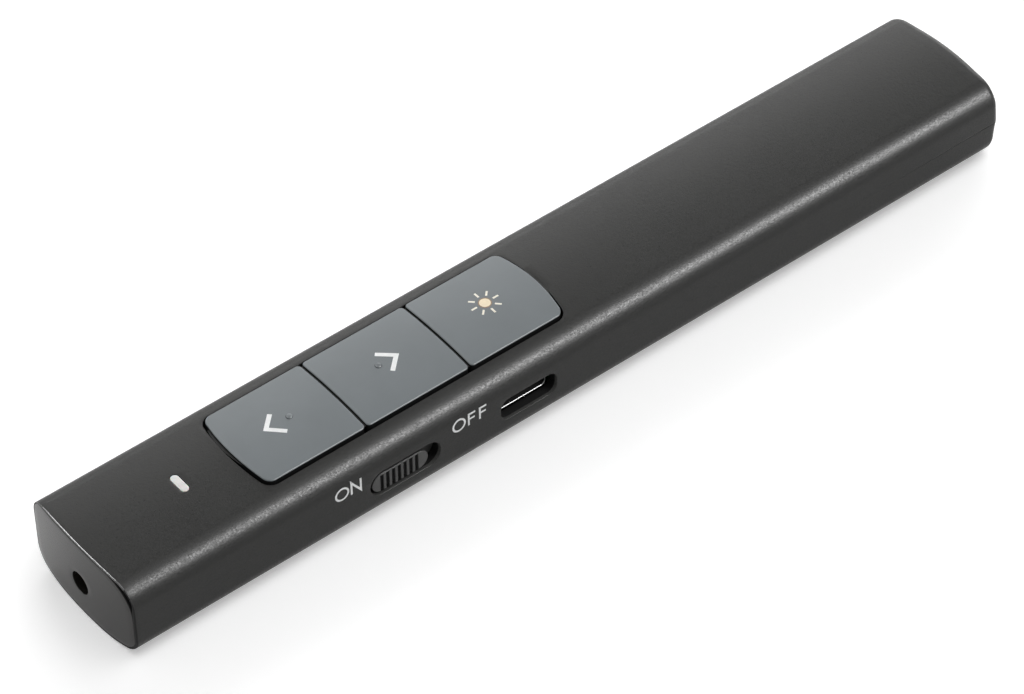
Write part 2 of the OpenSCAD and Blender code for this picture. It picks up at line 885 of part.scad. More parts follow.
module charge_chip() {
  charger = [2.9, 1.6, 1.1];
  color("black") block(charger, [(key_x[1] + key_x[2]) / 2, socket_mouth + socket_d + 2, board_top]);
}

module chip_antenna() {
  antenna = [1.6, 5, 1];
  color("tan") block(antenna, [board_end - antenna.x, 0, board_top]);
}

// Resistors and capacitors in two rows beside the switches
module board_passives() {
  passive = [0.8, 1.6, 0.5];
  pitch = 1.6;
  first = tact_w / 2 + pitch;
  color("saddlebrown") {
    for (k = [0:4]) block(passive, [key_x[1] + first + pitch * k, chip_y, board_top]);
    for (k = [0:3]) block(passive, [key_x[2] + first + pitch * k, tact_y, board_top]);
  }
}

module battery_cell() {
  color("silver") along_x(cell_x, cell_l) translate([0, cell_z + cell_t / 2]) slot_2d(cell_w, cell_t, 1);
}

module battery_pad() {
  color([0.2, 0.2, 0.25]) block([cell_l - 4, cell_w - 3, pad_t], [(cell_x + cell_end) / 2, 0, seat_z]);
}

module protection_board() {
  color("goldenrod") block(protect_size, [cell_x - protect_size.x / 2, 0, cell_z + 1]);
}

// Two leads from the protection board to pads on the circuit board
module battery_leads() {
  high = cell_z + 1 + protect_size.z / 2;
  low = board_top + lead_d / 2 + eps;
  run_x = [board_end - 3, board_end - 1.2, board_end + cell_gap / 2, protect_x - eps];
  run_z = [low, low, high, high];
  for (y = [-1, 1]) color(y > 0 ? "red" : "black")
    sweep_tube([for (k = [0:3]) [run_x[k], y * 4, run_z[k]]], lead_d / 2, 10);
}

// A tube in the X-Z plane through smoothed points, closed at both ends
module sweep_tube(pts, r, sides) {
  smooth = 4;
  path = concat([pts[0]],
    [for (i = [1:len(pts) - 2]) let (a = (pts[i - 1] + pts[i]) / 2) let (b = (pts[i] + pts[i + 1]) / 2)
      for (k = [0:smooth]) let (t = k / smooth)
        a * pow(1 - t, 2) + pts[i] * 2 * t * (1 - t) + b * t * t],
    [pts[len(pts) - 1]]);
  last = len(path) - 1;
  rings = [for (i = [0:last])
    let (d = unit(path[min(i + 1, last)] - path[max(i - 1, 0)]))
    let (up = [-d.z, 0, d.x])
    for (k = [0:sides - 1]) path[i] + r * (cos(360 * k / sides) * [0, 1, 0] + sin(360 * k / sides) * up)];
  polyhedron(points = rings, faces = concat(
    [[for (k = [0:sides - 1]) k]],
    [for (i = [0:last - 1], k = [0:sides - 1])
      [i * sides + k, (i + 1) * sides + k, (i + 1) * sides + (k + 1) % sides, i * sides + (k + 1) % sides]],
    [[for (k = [sides - 1:-1:0]) last * sides + k]]));
}

upper_housing();
lower_housing();
nose_cap();
indicator_lens();
back_button();
forward_button();
laser_button();
switch_knob();
circuit_board();
board_screws();
back_switch();
forward_switch();
laser_switch();
back_stem();
forward_stem();
laser_stem();
switch_domes();
status_led();
laser_barrel();
laser_lens();
laser_diode();
slide_switch();
slide_lever();
usb_shell();
usb_tongue();
usb_contacts();
controller_chip();
radio_crystal();
charge_chip();
chip_antenna();
board_passives();
battery_cell();
battery_pad();
protection_board();
battery_leads();
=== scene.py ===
"""Wireless presentation clicker: the looks of the bar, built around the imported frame.

Sizes in the dataclasses are millimetres, and meshes are scaled to metres as they are made.
The nose is at -X, the side wall with the switch and the socket at -Y, the keys look to +Z.
"""

import logging
import math
from dataclasses import dataclass, replace
from enum import Enum
from typing import Callable, Optional, Sequence

import bmesh
import bpy
from mathutils import Matrix, Vector


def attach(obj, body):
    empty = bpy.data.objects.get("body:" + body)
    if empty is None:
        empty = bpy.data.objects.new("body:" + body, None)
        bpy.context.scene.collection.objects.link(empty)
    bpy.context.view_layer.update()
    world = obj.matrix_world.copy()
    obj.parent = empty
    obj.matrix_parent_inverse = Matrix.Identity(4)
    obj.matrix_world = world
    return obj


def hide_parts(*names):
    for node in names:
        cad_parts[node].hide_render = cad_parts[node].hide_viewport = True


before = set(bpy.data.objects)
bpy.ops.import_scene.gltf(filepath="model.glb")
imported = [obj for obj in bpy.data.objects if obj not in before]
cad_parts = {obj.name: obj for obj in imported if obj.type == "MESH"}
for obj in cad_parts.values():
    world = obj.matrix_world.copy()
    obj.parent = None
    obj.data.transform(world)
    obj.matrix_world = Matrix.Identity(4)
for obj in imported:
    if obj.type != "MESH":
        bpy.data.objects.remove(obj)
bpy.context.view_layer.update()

MM = 0.001
WELD = 1e-7
SHARP = 35.0
SHELL_SHARP = 40.0
LEAST_RADIUS = 0.02
LEAST_MITRE = 0.3
ROUND_STEPS = 40
PATTERN_MIDDLE = (0.25, 0.75)
COLOUR_STOPS = (0.3, 0.7)
INK_RISE = 0.012
INK_ROOT = 0.02

Point = tuple[float, float, float]
Flat = tuple[float, float]
Ring = list[Point]
Pair = tuple[Flat, Flat]
Lift = Callable[[Flat, float], Point]
Piece = bpy.types.Object
Paint = bpy.types.Material
Socket = bpy.types.NodeSocket

log = logging.getLogger("clicker")


class Body(str, Enum):
    """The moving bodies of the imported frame."""

    HOUSING = "housing"
    BACK_KEY = "back_key"
    FORWARD_KEY = "forward_key"
    LASER_KEY = "laser_key"
    POWER_SLIDER = "power_slider"


class Half(Enum):
    """The two shells, with the way that each one runs from the parting line."""

    UPPER = 1
    LOWER = -1


# ---------------------------------------------------------------- arithmetic


def bow_radius(half: float, rise: float) -> float:
    """Radius of an arc over a half chord with the given rise."""
    return (half * half + rise * rise) / (2 * rise)


def mix(a: float, b: float, t: float) -> float:
    """The value a share t of the way from a to b."""
    return a + (b - a) * t


def between(a: Flat, b: Flat, t: float) -> Flat:
    """The point a share t of the way from a to b."""
    return (mix(a[0], b[0], t), mix(a[1], b[1], t))


def smooth(span: Flat, value: float) -> float:
    """0 before the span, 1 past it, and an even blend between the two."""
    t = min(max((value - span[0]) / (span[1] - span[0]), 0.0), 1.0)
    return t * t * (3 - 2 * t)


def steps(count: int) -> list[float]:
    """count + 1 even shares from 0 to 1."""
    return [i / count for i in range(count + 1)]


def polar(cx: float, cy: float, r: float, a: float) -> Flat:
    """The point at an angle on a circle."""
    return (cx + r * math.cos(a), cy + r * math.sin(a))


def oval(cx: float, cy: float, rx: float, ry: float, count: int = ROUND_STEPS) -> list[Flat]:
    """Points at even angles round an oval."""
    turns = [2 * math.pi * k / count for k in range(count)]
    return [(cx + rx * math.cos(a), cy + ry * math.sin(a)) for a in turns]


def level(outline: Sequence[Flat], z: float) -> Ring:
    """A flat outline at a height."""
    return [(x, y, z) for x, y in outline]


def round_edge(radius: float, count: int, span: float = 90.0) -> list[Flat]:
    """Insets and depths along a rounded edge, from its side to its face."""
    turns = [math.radians(span * k / count) for k in range(count + 1)]
    return [(radius * (1 - math.cos(a)), radius * (1 - math.sin(a))) for a in turns]


def round_rect(
    start: float, end: float, half: float, radii: Flat, arc: int = 8, side: int = 14, edge: int = 10
) -> list[Flat]:
    """Outline of a rectangle with rounded corners, counter-clockwise from its -X -Y corner.

    Args:
        start: Lowest X.
        end: Highest X.
        half: Half the size along Y.
        radii: Corner radius at the start and at the end.
        arc: Segments of a corner.
        side: Segments of a long side.
        edge: Segments of an end.

    Returns:
        The points, always the same number for the same segments.
    """
    r0, r1 = (max(r, LEAST_RADIUS) for r in radii)
    corners = [
        (start + r0, -half + r0, r0, 180.0),
        (end - r1, -half + r1, r1, 270.0),
        (end - r1, half - r1, r1, 0.0),
        (start + r0, half - r0, r0, 90.0),
    ]
    points: list[Flat] = []
    for n, (cx, cy, r, turn) in enumerate(corners):
        points += [polar(cx, cy, r, math.radians(turn + 90 * t)) for t in steps(arc)]
        nx, ny, nr, nturn = corners[(n + 1) % 4]
        first, last = points[-1], polar(nx, ny, nr, math.radians(nturn))
        count = side if n in (0, 2) else edge
        points += [between(first, last, k / count) for k in range(1, count)]
    return points


# ---------------------------------------------------------------- meshes


class Skin:
    """Points in millimetres and the faces between them, on the way to a mesh.

    New faces take the material slot that is set at the time.
    """

    def __init__(self) -> None:
        """Starts with nothing in it."""
        self.points: list[Point] = []
        self.faces: list[list[int]] = []
        self.slots: list[int] = []
        self.slot = 0

    def ring(self, points: Sequence[Point]) -> list[int]:
        """Adds points and returns their numbers."""
        self.points += points
        return list(range(len(self.points) - len(points), len(self.points)))

    def lid(self, ring: Sequence[int]) -> None:
        """Closes a ring with one face."""
        self.faces.append(list(ring))
        self.slots.append(self.slot)

    def bridge(self, a: Sequence[int], b: Sequence[int], closed: bool = True) -> None:
        """Joins two rings of the same length, and their ends too if they are closed.

        Args:
            a: Numbers of the first ring's points.
            b: Numbers of the second ring's points.
            closed: Whether the last points join the first.
        """
        for i in range(len(a) if closed else len(a) - 1):
            j = (i + 1) % len(a)
            self.lid([a[i], a[j], b[j], b[i]])

    def loft(self, rings: Sequence[Sequence[Point]], closed: bool = True) -> list[list[int]]:
        """Adds rings of equal length, each joined to the one before, and returns their numbers.

        Args:
            rings: Rings of equal length.
            closed: Whether each ring closes.

        Returns:
            The numbers of every ring's points.
        """
        made = [self.ring(r) for r in rings]
        for a, b in zip(made, made[1:]):
            self.bridge(a, b, closed)
        return made

    def rod(self, rings: Sequence[Sequence[Point]]) -> None:
        """Adds rings as a loft that is closed at both ends.

        Args:
            rings: Rings of equal length.
        """
        made = self.loft(rings)
        self.lid(made[0])
        self.lid(made[-1])

    def strip(self, *parts: tuple[int, Sequence[Ring]], foot: bool = False) -> list[list[int]]:
        """Adds lofts in different materials, each joined to the one before.

        Args:
            parts: Material slot and rings of each loft.
            foot: Whether the first ring is closed with a face.

        Returns:
            The numbers of every ring's points.
        """
        made: list[list[int]] = []
        for self.slot, rings in parts:
            part = self.loft(rings)
            if made:
                self.bridge(made[-1], part[0])
            elif foot:
                self.lid(part[0])
            made += part
        return made

    def finish(self, name: str, *materials: Paint, sharp: float = SHARP) -> Piece:
        """Turns the skin into an object with outward normals and smooth shading.

        Args:
            name: Name of the object.
            materials: Materials in the order of their slots.
            sharp: Angle in degrees past which an edge stays sharp.

        Returns:
            The new object.
        """
        mesh = bpy.data.meshes.new(name)
        mesh.from_pydata([(x * MM, y * MM, z * MM) for x, y, z in self.points], [], self.faces)
        for material in materials:
            mesh.materials.append(material)
        mesh.polygons.foreach_set("material_index", self.slots)
        tidy_mesh(mesh, sharp)
        return placed(name, mesh)


def placed(name: str, data: bpy.types.ID) -> Piece:
    """Puts a new object with its data in the scene.

    Args:
        name: Name of the object.
        data: Its mesh, light or camera.

    Returns:
        The object.
    """
    made = bpy.data.objects.new(name, data)
    bpy.context.scene.collection.objects.link(made)
    return made


def discard(piece: Piece) -> None:
    """Removes a helper object and its mesh.

    Args:
        piece: The helper.
    """
    mesh = piece.data
    bpy.data.objects.remove(piece)
    bpy.data.meshes.remove(mesh)


def tidy_mesh(mesh: bpy.types.Mesh, sharp: float) -> None:
    """Merges doubles, turns the faces outwards and shades them smooth up to a sharp angle.

    Args:
        mesh: The mesh.
        sharp: Angle in degrees past which an edge stays sharp.
    """
    work = bmesh.new()
    work.from_mesh(mesh)
    bmesh.ops.remove_doubles(work, verts=work.verts, dist=WELD)
    bmesh.ops.dissolve_degenerate(work, edges=work.edges, dist=WELD / 10)
    bmesh.ops.recalc_face_normals(work, faces=work.faces)
    turn_outward(work)
    work.to_mesh(mesh)
    work.free()
    mesh.validate()
    mesh.shade_smooth()
    mesh.set_sharp_from_angle(angle=math.radians(sharp))


def turn_outward(work: bmesh.types.BMesh) -> None:
    """Flips every closed part of a mesh whose volume comes out negative.

    Args:
        work: The mesh at work.
    """
    left = set(work.faces)
    while left:
        island, todo = [], [left.pop()]
        while todo:
            face = todo.pop()
            island.append(face)
            near = {other for edge in face.edges for other in edge.link_faces} & left
            left -= near
            todo += near
        volume = 0.0
        for face in island:
            first, *rest = (v.co for v in face.verts)
            volume += sum(first.dot(a.cross(b)) for a, b in zip(rest, rest[1:]))
        if volume < 0:
            bmesh.ops.reverse_faces(work, faces=island)


def bake_modifiers(piece: Piece) -> None:
    """Replaces a piece's mesh with its evaluated one and drops its modifiers.

    Args:
        piece: The piece.
    """
    graph = bpy.context.evaluated_depsgraph_get()
    made = bpy.data.meshes.new_from_object(piece.evaluated_get(graph), depsgraph=graph)
    piece.modifiers.clear()
    old, piece.data = piece.data, made
    made.name = piece.name
    bpy.data.meshes.remove(old)
    tidy_mesh(made, SHARP)


def combine(piece: Piece, tools: Sequence[Piece], operation: str) -> None:
    """Cuts tools out of a piece, or joins them to it; new faces keep the tools' materials.

    Args:
        piece: The piece to change.
        tools: Closed solids, removed afterwards.
        operation: DIFFERENCE or UNION.
    """
    for tool in tools:
        step = piece.modifiers.new(tool.name, "BOOLEAN")
        step.operation, step.solver, step.material_mode = operation, "MANIFOLD", "TRANSFER"
        step.object = tool
    bake_modifiers(piece)
    for tool in tools:
        discard(tool)


def dress(piece: Piece, body: Body, slot: str, *nodes: str) -> None:
    """Hangs a piece on its body and hides the nodes that it stands for.

    Args:
        piece: The finished piece.
        body: Body that it moves with.
        slot: Material slot of the record; not used.
        nodes: CAD nodes that it replaces.
    """
    if nodes:
        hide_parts(*nodes)
    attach(piece, body.value)
    log.info("%s rides on %s, %d faces", piece.name, body.value, len(piece.data.polygons))


# ---------------------------------------------------------------- node trees


class Graph:
    """A node tree with a short way to add nodes to it."""

    def __init__(self, tree: bpy.types.NodeTree) -> None:
        """Takes a tree and drops the nodes that it starts with."""
        self.tree = tree
        tree.nodes.clear()

    def add(self, kind: str, feeds: Optional[dict] = None, **values: object) -> bpy.types.Node:
        """Adds a node.

        Args:
            kind: Type of the node.
            feeds: For inputs by name or number, the socket to link or the constant to set.
            values: Properties of the node.

        Returns:
            The node.
        """
        node = self.tree.nodes.new(kind)
        for key, value in values.items():
            setattr(node, key, value)
        for key, value in (feeds or {}).items():
            if isinstance(value, Socket):
                self.tree.links.new(value, node.inputs[key])
            else:
                node.inputs[key].default_value = value
        return node

    def seen(self) -> Socket:
        """1 for camera, glossy and transmission rays, else 0.

        Returns:
            The value.
        """
        rays = self.add("ShaderNodeLightPath").outputs
        total = rays["Is Camera Ray"]
        for name in ("Is Glossy Ray", "Is Transmission Ray"):
            both = {0: total, 1: rays[name]}
            total = self.add("ShaderNodeMath", both, operation="ADD", use_clamp=True).outputs["Value"]
        return total


class Sheet(Graph):
    """One material's node tree, with the patterns that finishes are made of."""

    def __init__(self, name: str) -> None:
        """Makes the material with its Principled shader.

        Args:
            name: Name of the material.
        """
        self.material = bpy.data.materials.new(name)
        self.material.use_nodes = True
        super().__init__(self.material.node_tree)
        self.shader = self.add("ShaderNodeBsdfPrincipled")
        self.output = self.add("ShaderNodeOutputMaterial", {"Surface": self.shader.outputs["BSDF"]})
        self.place = self.add("ShaderNodeTexCoord").outputs["Object"]

    def fixed(self, **values: object) -> None:
        """Sets constants on the shader's own sockets; an underscore stands for a space."""
        for key, value in values.items():
            self.shader.inputs[key.replace("_", " ")].default_value = value

    def noise(
        self, size: float, detail: float = 2.0, rough: float = 0.55, at: Optional[Socket] = None
    ) -> Socket:
        """Noise whose lumps measure about the given size.

        Args:
            size: Size of a lump in millimetres.
            detail: Octaves.
            rough: Strength of the finer octaves.
            at: Coordinates, or None for the object's own.

        Returns:
            The noise's value.
        """
        feeds = {"Scale": 1 / (size * MM), "Detail": detail, "Roughness": rough, "Vector": at or self.place}
        return self.add("ShaderNodeTexNoise", feeds).outputs["Fac"]

    def span(self, value: Socket, low: float, high: float) -> Socket:
        """Stretches the middle part of a 0 to 1 value over another range.

        Args:
            value: The value.
            low: Start of the new range.
            high: End of the new range.

        Returns:
            The new value.
        """
        names = ("From Min", "From Max", "To Min", "To Max", "Value")
        feeds = dict(zip(names, (*PATTERN_MIDDLE, low, high, value)))
        return self.add("ShaderNodeMapRange", feeds).outputs["Result"]

    def blend(self, share: Socket, first: Sequence[float], second: Sequence[float]) -> Socket:
        """A colour between two linear ones: the first where the share is 0, the second at 1.

        Args:
            share: How far the colour goes from the first to the second.
            first: Linear red, green and blue.
            second: Linear red, green and blue.

        Returns:
            The colour.
        """
        node = self.add("ShaderNodeValToRGB", {"Fac": share})
        for stop, place, colour in zip(node.color_ramp.elements, COLOUR_STOPS, (first, second)):
            stop.position, stop.color = place, (*colour, 1)
        return node.outputs["Color"]

    def bump(self, height: Socket, depth: float, under: Optional[Socket] = None) -> Socket:
        """A bump of the given depth in millimetres, over another one if given."""
        feeds = {"Strength": 1.0, "Distance": depth * MM, "Height": height}
        return self.add("ShaderNodeBump", {**feeds, "Normal": under} if under else feeds).outputs["Normal"]

    def wear(self, colour: Socket, rough: Socket, normal: Socket) -> None:
        """Links the three patterns to the shader."""
        for name, value in (("Base Color", colour), ("Roughness", rough), ("Normal", normal)):
            self.tree.links.new(value, self.shader.inputs[name])


class NodeRecipe(Graph):
    """A Geometry Nodes tree with named inputs that repeats a pattern over points."""

    def __init__(self, name: str, pattern: Piece) -> None:
        """Makes the tree with its output and the pattern's input.

        Args:
            name: Name of the tree.
            pattern: What the tree repeats.
        """
        super().__init__(bpy.data.node_groups.new(name, "GeometryNodeTree"))
        self.tree.interface.new_socket("Geometry", in_out="OUTPUT", socket_type="NodeSocketGeometry")
        self.source = self.add("NodeGroupInput")
        self.inputs: dict[str, object] = {}
        self.pattern = pattern
        self.ask("Pattern", "NodeSocketObject", pattern)

    def ask(self, name: str, kind: str, value: object) -> None:
        """Adds a named input and remembers its value."""
        socket = self.tree.interface.new_socket(name, in_out="INPUT", socket_type=kind)
        self.inputs[socket.identifier] = value

    def given(self, name: str) -> Socket:
        """The named input inside the tree."""
        return self.source.outputs[name]

    def build(self, name: str, points: Socket, paint: Paint, **turn: Socket) -> Piece:
        """Ends the tree in Realize Instances and Set Material, runs it and drops the pattern.

        Args:
            name: Name of the new object.
            points: Where the pattern is repeated.
            paint: Material of the copies.
            turn: Rotation of the copies, or nothing.

        Returns:
            A plain mesh object, with no modifier left on it.
        """
        shape = self.add("GeometryNodeObjectInfo", {"Object": self.given("Pattern")})
        feeds = {"Points": points, "Instance": shape.outputs["Geometry"], **turn}
        spread = self.add("GeometryNodeInstanceOnPoints", feeds)
        real = self.add("GeometryNodeRealizeInstances", {"Geometry": spread.outputs["Instances"]})
        feeds = {"Geometry": real.outputs["Geometry"], "Material": paint}
        painted = self.add("GeometryNodeSetMaterial", feeds)
        self.add("NodeGroupOutput", {"Geometry": painted.outputs["Geometry"]})
        carrier = placed(name, bpy.data.meshes.new(name))
        step = carrier.modifiers.new("recipe", "NODES")
        step.node_group = self.tree
        for identifier, value in self.inputs.items():
            step[identifier] = value
        bpy.context.view_layer.update()
        bake_modifiers(carrier)
        discard(self.pattern)
        return carrier


# ---------------------------------------------------------------- finishes


def shade(colour: Point, share: float) -> Point:
    """A colour at a share of its strength."""
    return tuple(c * share for c in colour)


@dataclass(frozen=True)
class Finish:
    """What every finish shares: it draws its patterns on a sheet of its own."""

    def material(self, name: str) -> Paint:
        """Builds the material.

        Args:
            name: Name of the material.

        Returns:
            The material.
        """
        sheet = Sheet(name)
        self.draw(sheet)
        return sheet.material

    def draw(self, sheet: Sheet) -> None:
        """Adds the finish's patterns to a sheet."""
        raise NotImplementedError


@dataclass(frozen=True)
class GrainedPlastic(Finish):
    """A moulded or coated plastic with a fine grain.

    Attributes:
        colour: Linear base colour.
        shift: Share by which the colour varies.
        cloud: Size of the soft patches in the colour.
        grain: Size of the grain.
        depth: Depth of the grain.
        rough: Lowest and highest roughness.
        specular: Specular level.
        coat: Weight of a clear coat.
        coat_rough: Roughness of the coat.
        ior: Index of refraction.
        wave: Size of the waves under the grain, against the grain's own.
    """

    colour: Point
    shift: float
    cloud: float
    grain: float
    depth: float
    rough: Flat
    specular: float
    coat: float = 0.0
    coat_rough: float = 0.3
    ior: float = 1.5
    wave: float = 2.3

    def draw(self, sheet: Sheet) -> None:
        """Adds soft patches of colour, and the grain over gentle waves.

        Args:
            sheet: The material's sheet.
        """
        cloud = sheet.noise(self.cloud, 3)
        grain = sheet.noise(self.grain, 2, 0.6)
        waves = sheet.noise(self.grain * self.wave, 1)
        sheet.fixed(Specular_IOR_Level=self.specular, IOR=self.ior)
        sheet.fixed(Coat_Weight=self.coat, Coat_Roughness=self.coat_rough)
        sheet.wear(
            sheet.blend(cloud, shade(self.colour, 1 - self.shift), shade(self.colour, 1 + self.shift)),
            sheet.span(grain, *self.rough),
            sheet.bump(grain, self.depth, sheet.bump(waves, self.depth)),
        )


@dataclass(frozen=True)
class SheetMetal(Finish):
    """Plated or turned metal with fine lines in one direction.

    Attributes:
        colour: Linear base colour.
        stretch: Length of the lines against their width, along each axis.
        rough: Lowest and highest roughness.
        line: Width of a line.
        depth: Depth of the lines.
    """

    colour: Point
    stretch: Point = (0.08, 1.0, 1.0)
    rough: Flat = (0.18, 0.34)
    line: float = 0.05
    depth: float = 0.0012

    def draw(self, sheet: Sheet) -> None:
        """Adds the lines and a patchy tarnish.

        Args:
            sheet: The material's sheet.
        """
        along = sheet.add("ShaderNodeMapping", {"Scale": self.stretch, "Vector": sheet.place})
        lines = sheet.noise(self.line, 3, 0.6, along.outputs["Vector"])
        sheet.fixed(Metallic=1.0)
        sheet.wear(
            sheet.blend(sheet.noise(1.8, 4), shade(self.colour, 0.82), self.colour),
            sheet.span(lines, *self.rough),
            sheet.bump(lines, self.depth),
        )


@dataclass(frozen=True)
class PatchyFinish(Finish):
    """A finish whose colour and roughness follow soft patches.

    Attributes:
        colour: Linear base colour.
        faded: Share of the colour that is left in the patches.
        patch: Size of the patches and their octaves.
        rough: Lowest and highest roughness.
        relief: Size and depth of the fine relief.
    """

    colour: Point
    faded: float = 0.9
    patch: Flat = (0.5, 3)
    rough: Flat = (0.5, 0.62)
    relief: Flat = (0.09, 0.0015)

    def draw(self, sheet: Sheet) -> None:
        """Adds the patches and the relief.

        Args:
            sheet: The material's sheet.
        """
        patch = sheet.noise(*self.patch)
        sheet.wear(
            sheet.blend(patch, shade(self.colour, self.faded), self.colour),
            sheet.span(patch, *self.rough),
            sheet.bump(sheet.noise(self.relief[0]), self.relief[1]),
        )


@dataclass(frozen=True)
class PrintInk(PatchyFinish):
    """A pad-printed ink, slightly uneven."""


@dataclass(frozen=True)
class MilkyPlastic(PatchyFinish):
    """A translucent light pipe or diffuser.

    Attributes:
        depth: Depth to which light spreads in it; the others are a patchy finish's own.
    """

    faded: float = 0.94
    patch: Flat = (0.7, 3)
    rough: Flat = (0.28, 0.4)
    relief: Flat = (0.15, 0.001)
    depth: float = 0.5

    def draw(self, sheet: Sheet) -> None:
        """Adds the scattering under the haze."""
        sheet.fixed(Subsurface_Weight=0.25, Subsurface_Scale=self.depth * MM)
        super().draw(sheet)


@dataclass(frozen=True)
class PolishedGlass(Finish):
    """The collimating lens.

    Attributes:
        colour: Tint of the glass.
    """

    colour: Point = (0.9, 0.95, 1.0)

    def draw(self, sheet: Sheet) -> None:
        """Adds a faint haze of the coating.

        Args:
            sheet: The material's sheet.
        """
        haze = sheet.noise(0.6, 2)
        sheet.fixed(Transmission_Weight=1.0, IOR=1.5)
        sheet.wear(
            sheet.blend(haze, shade(self.colour, 0.93), self.colour),
            sheet.span(haze, 0.02, 0.08),
            sheet.bump(haze, 0.0003),
        )


@dataclass(frozen=True)
class SolderMask(Finish):
    """Green board with copper tracks under its lacquer.

    Attributes:
        ground: Linear colour between the tracks.
        track: Linear colour of the tracks.
        pitch: Pitch of the tracks.
    """

    ground: Point = (0.004, 0.035, 0.013)
    track: Point = (0.01, 0.075, 0.028)
    pitch: float = 2.2

    def draw(self, sheet: Sheet) -> None:
        """Adds the tracks as joints between fields.

        Args:
            sheet: The material's sheet.
        """
        colours = zip(("Color1", "Color2", "Mortar"), (self.ground, shade(self.ground, 0.85), self.track))
        feeds = {"Scale": 1 / (self.pitch * MM), "Mortar Size": 0.09, "Vector": sheet.place}
        feeds.update({name: (*colour, 1) for name, colour in colours})
        fields = sheet.add("ShaderNodeTexBrick", feeds, offset=0.37, squash=1.6).outputs
        sheet.wear(
            fields["Color"],
            sheet.span(sheet.noise(1.2, 3), 0.22, 0.36),
            sheet.bump(fields["Fac"], 0.02, sheet.bump(sheet.noise(0.2), 0.002)),
        )


@dataclass(frozen=True)
class FoilPouch(Finish):
    """Crinkled aluminium foil around the cell.

    Attributes:
        colour: Linear base colour.
    """

    colour: Point = (0.62, 0.63, 0.65)

    def draw(self, sheet: Sheet) -> None:
        """Adds the folds.

        Args:
            sheet: The material's sheet.
        """
        folds = sheet.noise(3.5, 4, 0.6)
        sheet.fixed(Metallic=0.9)
        sheet.wear(
            sheet.blend(folds, shade(self.colour, 0.85), self.colour),
            sheet.span(folds, 0.26, 0.42),
            sheet.bump(folds, 0.05, sheet.bump(sheet.noise(0.3), 0.002)),
        )


@dataclass(frozen=True)
class CellFoam(Finish):
    """Closed-cell foam with small pits.

    Attributes:
        colour: Linear base colour.
        pit: Size of a pit.
    """

    colour: Point = (0.05, 0.05, 0.055)
    pit: float = 0.25

    def draw(self, sheet: Sheet) -> None:
        """Adds the pits.

        Args:
            sheet: The material's sheet.
        """
        feeds = {"Scale": 1 / (self.pit * MM), "Vector": sheet.place}
        pits = sheet.add("ShaderNodeTexVoronoi", feeds).outputs["Distance"]
        sheet.wear(
            sheet.blend(pits, shade(self.colour, 0.5), self.colour),
            sheet.span(sheet.noise(0.8), 0.85, 0.98),
            sheet.bump(pits, 0.08),
        )


@dataclass(frozen=True)
class TwoLeads(Finish):
    """Silicone insulation, red on the +Y lead and black on the other.

    Attributes:
        red: Linear colour of the +Y lead.
        black: Linear colour of the other lead.
    """

    red: Point = (0.42, 0.02, 0.02)
    black: Point = (0.015, 0.015, 0.016)

    def draw(self, sheet: Sheet) -> None:
        """Adds the two colours by the side of the bar.

        Args:
            sheet: The material's sheet.
        """
        y = sheet.add("ShaderNodeSeparateXYZ", {"Vector": sheet.place}).outputs["Y"]
        side = sheet.add("ShaderNodeMapRange", {"From Min": -MM, "From Max": MM, "Value": y})
        sheet.wear(
            sheet.blend(side.outputs["Result"], self.black, self.red),
            sheet.span(sheet.noise(0.6), 0.45, 0.6),
            sheet.bump(sheet.noise(0.12), 0.002),
        )


SOFT_TOUCH = GrainedPlastic((0.026, 0.026, 0.025), 0.06, 14.0, 0.21, 0.01, (0.24, 0.6), 0.13)
EDGE_WORN = GrainedPlastic((0.012, 0.012, 0.0115), 0.06, 14.0, 0.2, 0.001, (0.24, 0.32), 1.0)
# A lighter grey painted on the openings' walls just under their edge, as painted light where light falls in.
PAINTED_LIGHT_GREY = GrainedPlastic((0.06, 0.06, 0.058), 0.08, 5.0, 0.15, 0.002, (0.5, 0.6), 0.15)
# Near-black painted shade: on the insides of the shells and openings, the gap round the nose plate and inside
# the socket.
PAINTED_SHADE_BLACK = GrainedPlastic((0.004, 0.004, 0.004), 0.1, 5.0, 0.15, 0.002, (0.5, 0.6), 0.15)
CAP_SATIN = GrainedPlastic((0.013, 0.0118, 0.0104), 0.05, 8.0, 0.1, 0.0008, (0.16, 0.22), 0.3, ior=1.36)
KEY_SLATE = GrainedPlastic((0.158, 0.176, 0.185), 0.04, 7.0, 0.11, 0.002, (0.38, 0.46), 0.24)
# Near-black painted shade on the keys' walls, flanges and insides below the rounded edge, and round the dots'
# feet.
KEY_PAINTED_SHADE = GrainedPlastic((0.008, 0.0082, 0.0085), 0.06, 4.0, 0.11, 0.002, (0.45, 0.55), 0.06)
# Darker than the knob's plastic: painted shade in the knob's grooves.
GROOVE_PAINTED_SHADE = GrainedPlastic((0.014, 0.014, 0.014), 0.1, 3.0, 0.15, 0.002, (0.5, 0.6), 0.2)
KNOB_PLASTIC = GrainedPlastic((0.044, 0.044, 0.043), 0.08, 4.0, 0.12, 0.003, (0.4, 0.5), 0.28)
MOULDED_BLACK = GrainedPlastic((0.016, 0.016, 0.018), 0.15, 3.0, 0.12, 0.003, (0.4, 0.52), 0.45)
CHIP_EPOXY = GrainedPlastic((0.02, 0.02, 0.021), 0.2, 1.0, 0.08, 0.003, (0.5, 0.65), 0.4)
FIRED_CERAMIC = GrainedPlastic((0.4, 0.29, 0.17), 0.1, 1.2, 0.1, 0.002, (0.4, 0.55), 0.5)
POLYIMIDE = GrainedPlastic((0.55, 0.3, 0.05), 0.12, 2.0, 0.4, 0.004, (0.2, 0.32), 0.5, 0.3, 0.15)
PLATED_STEEL = SheetMetal((0.7, 0.7, 0.71))
BRIGHT_SHELL = SheetMetal((0.16, 0.16, 0.16), (1.0, 0.08, 1.0), (0.42, 0.52))
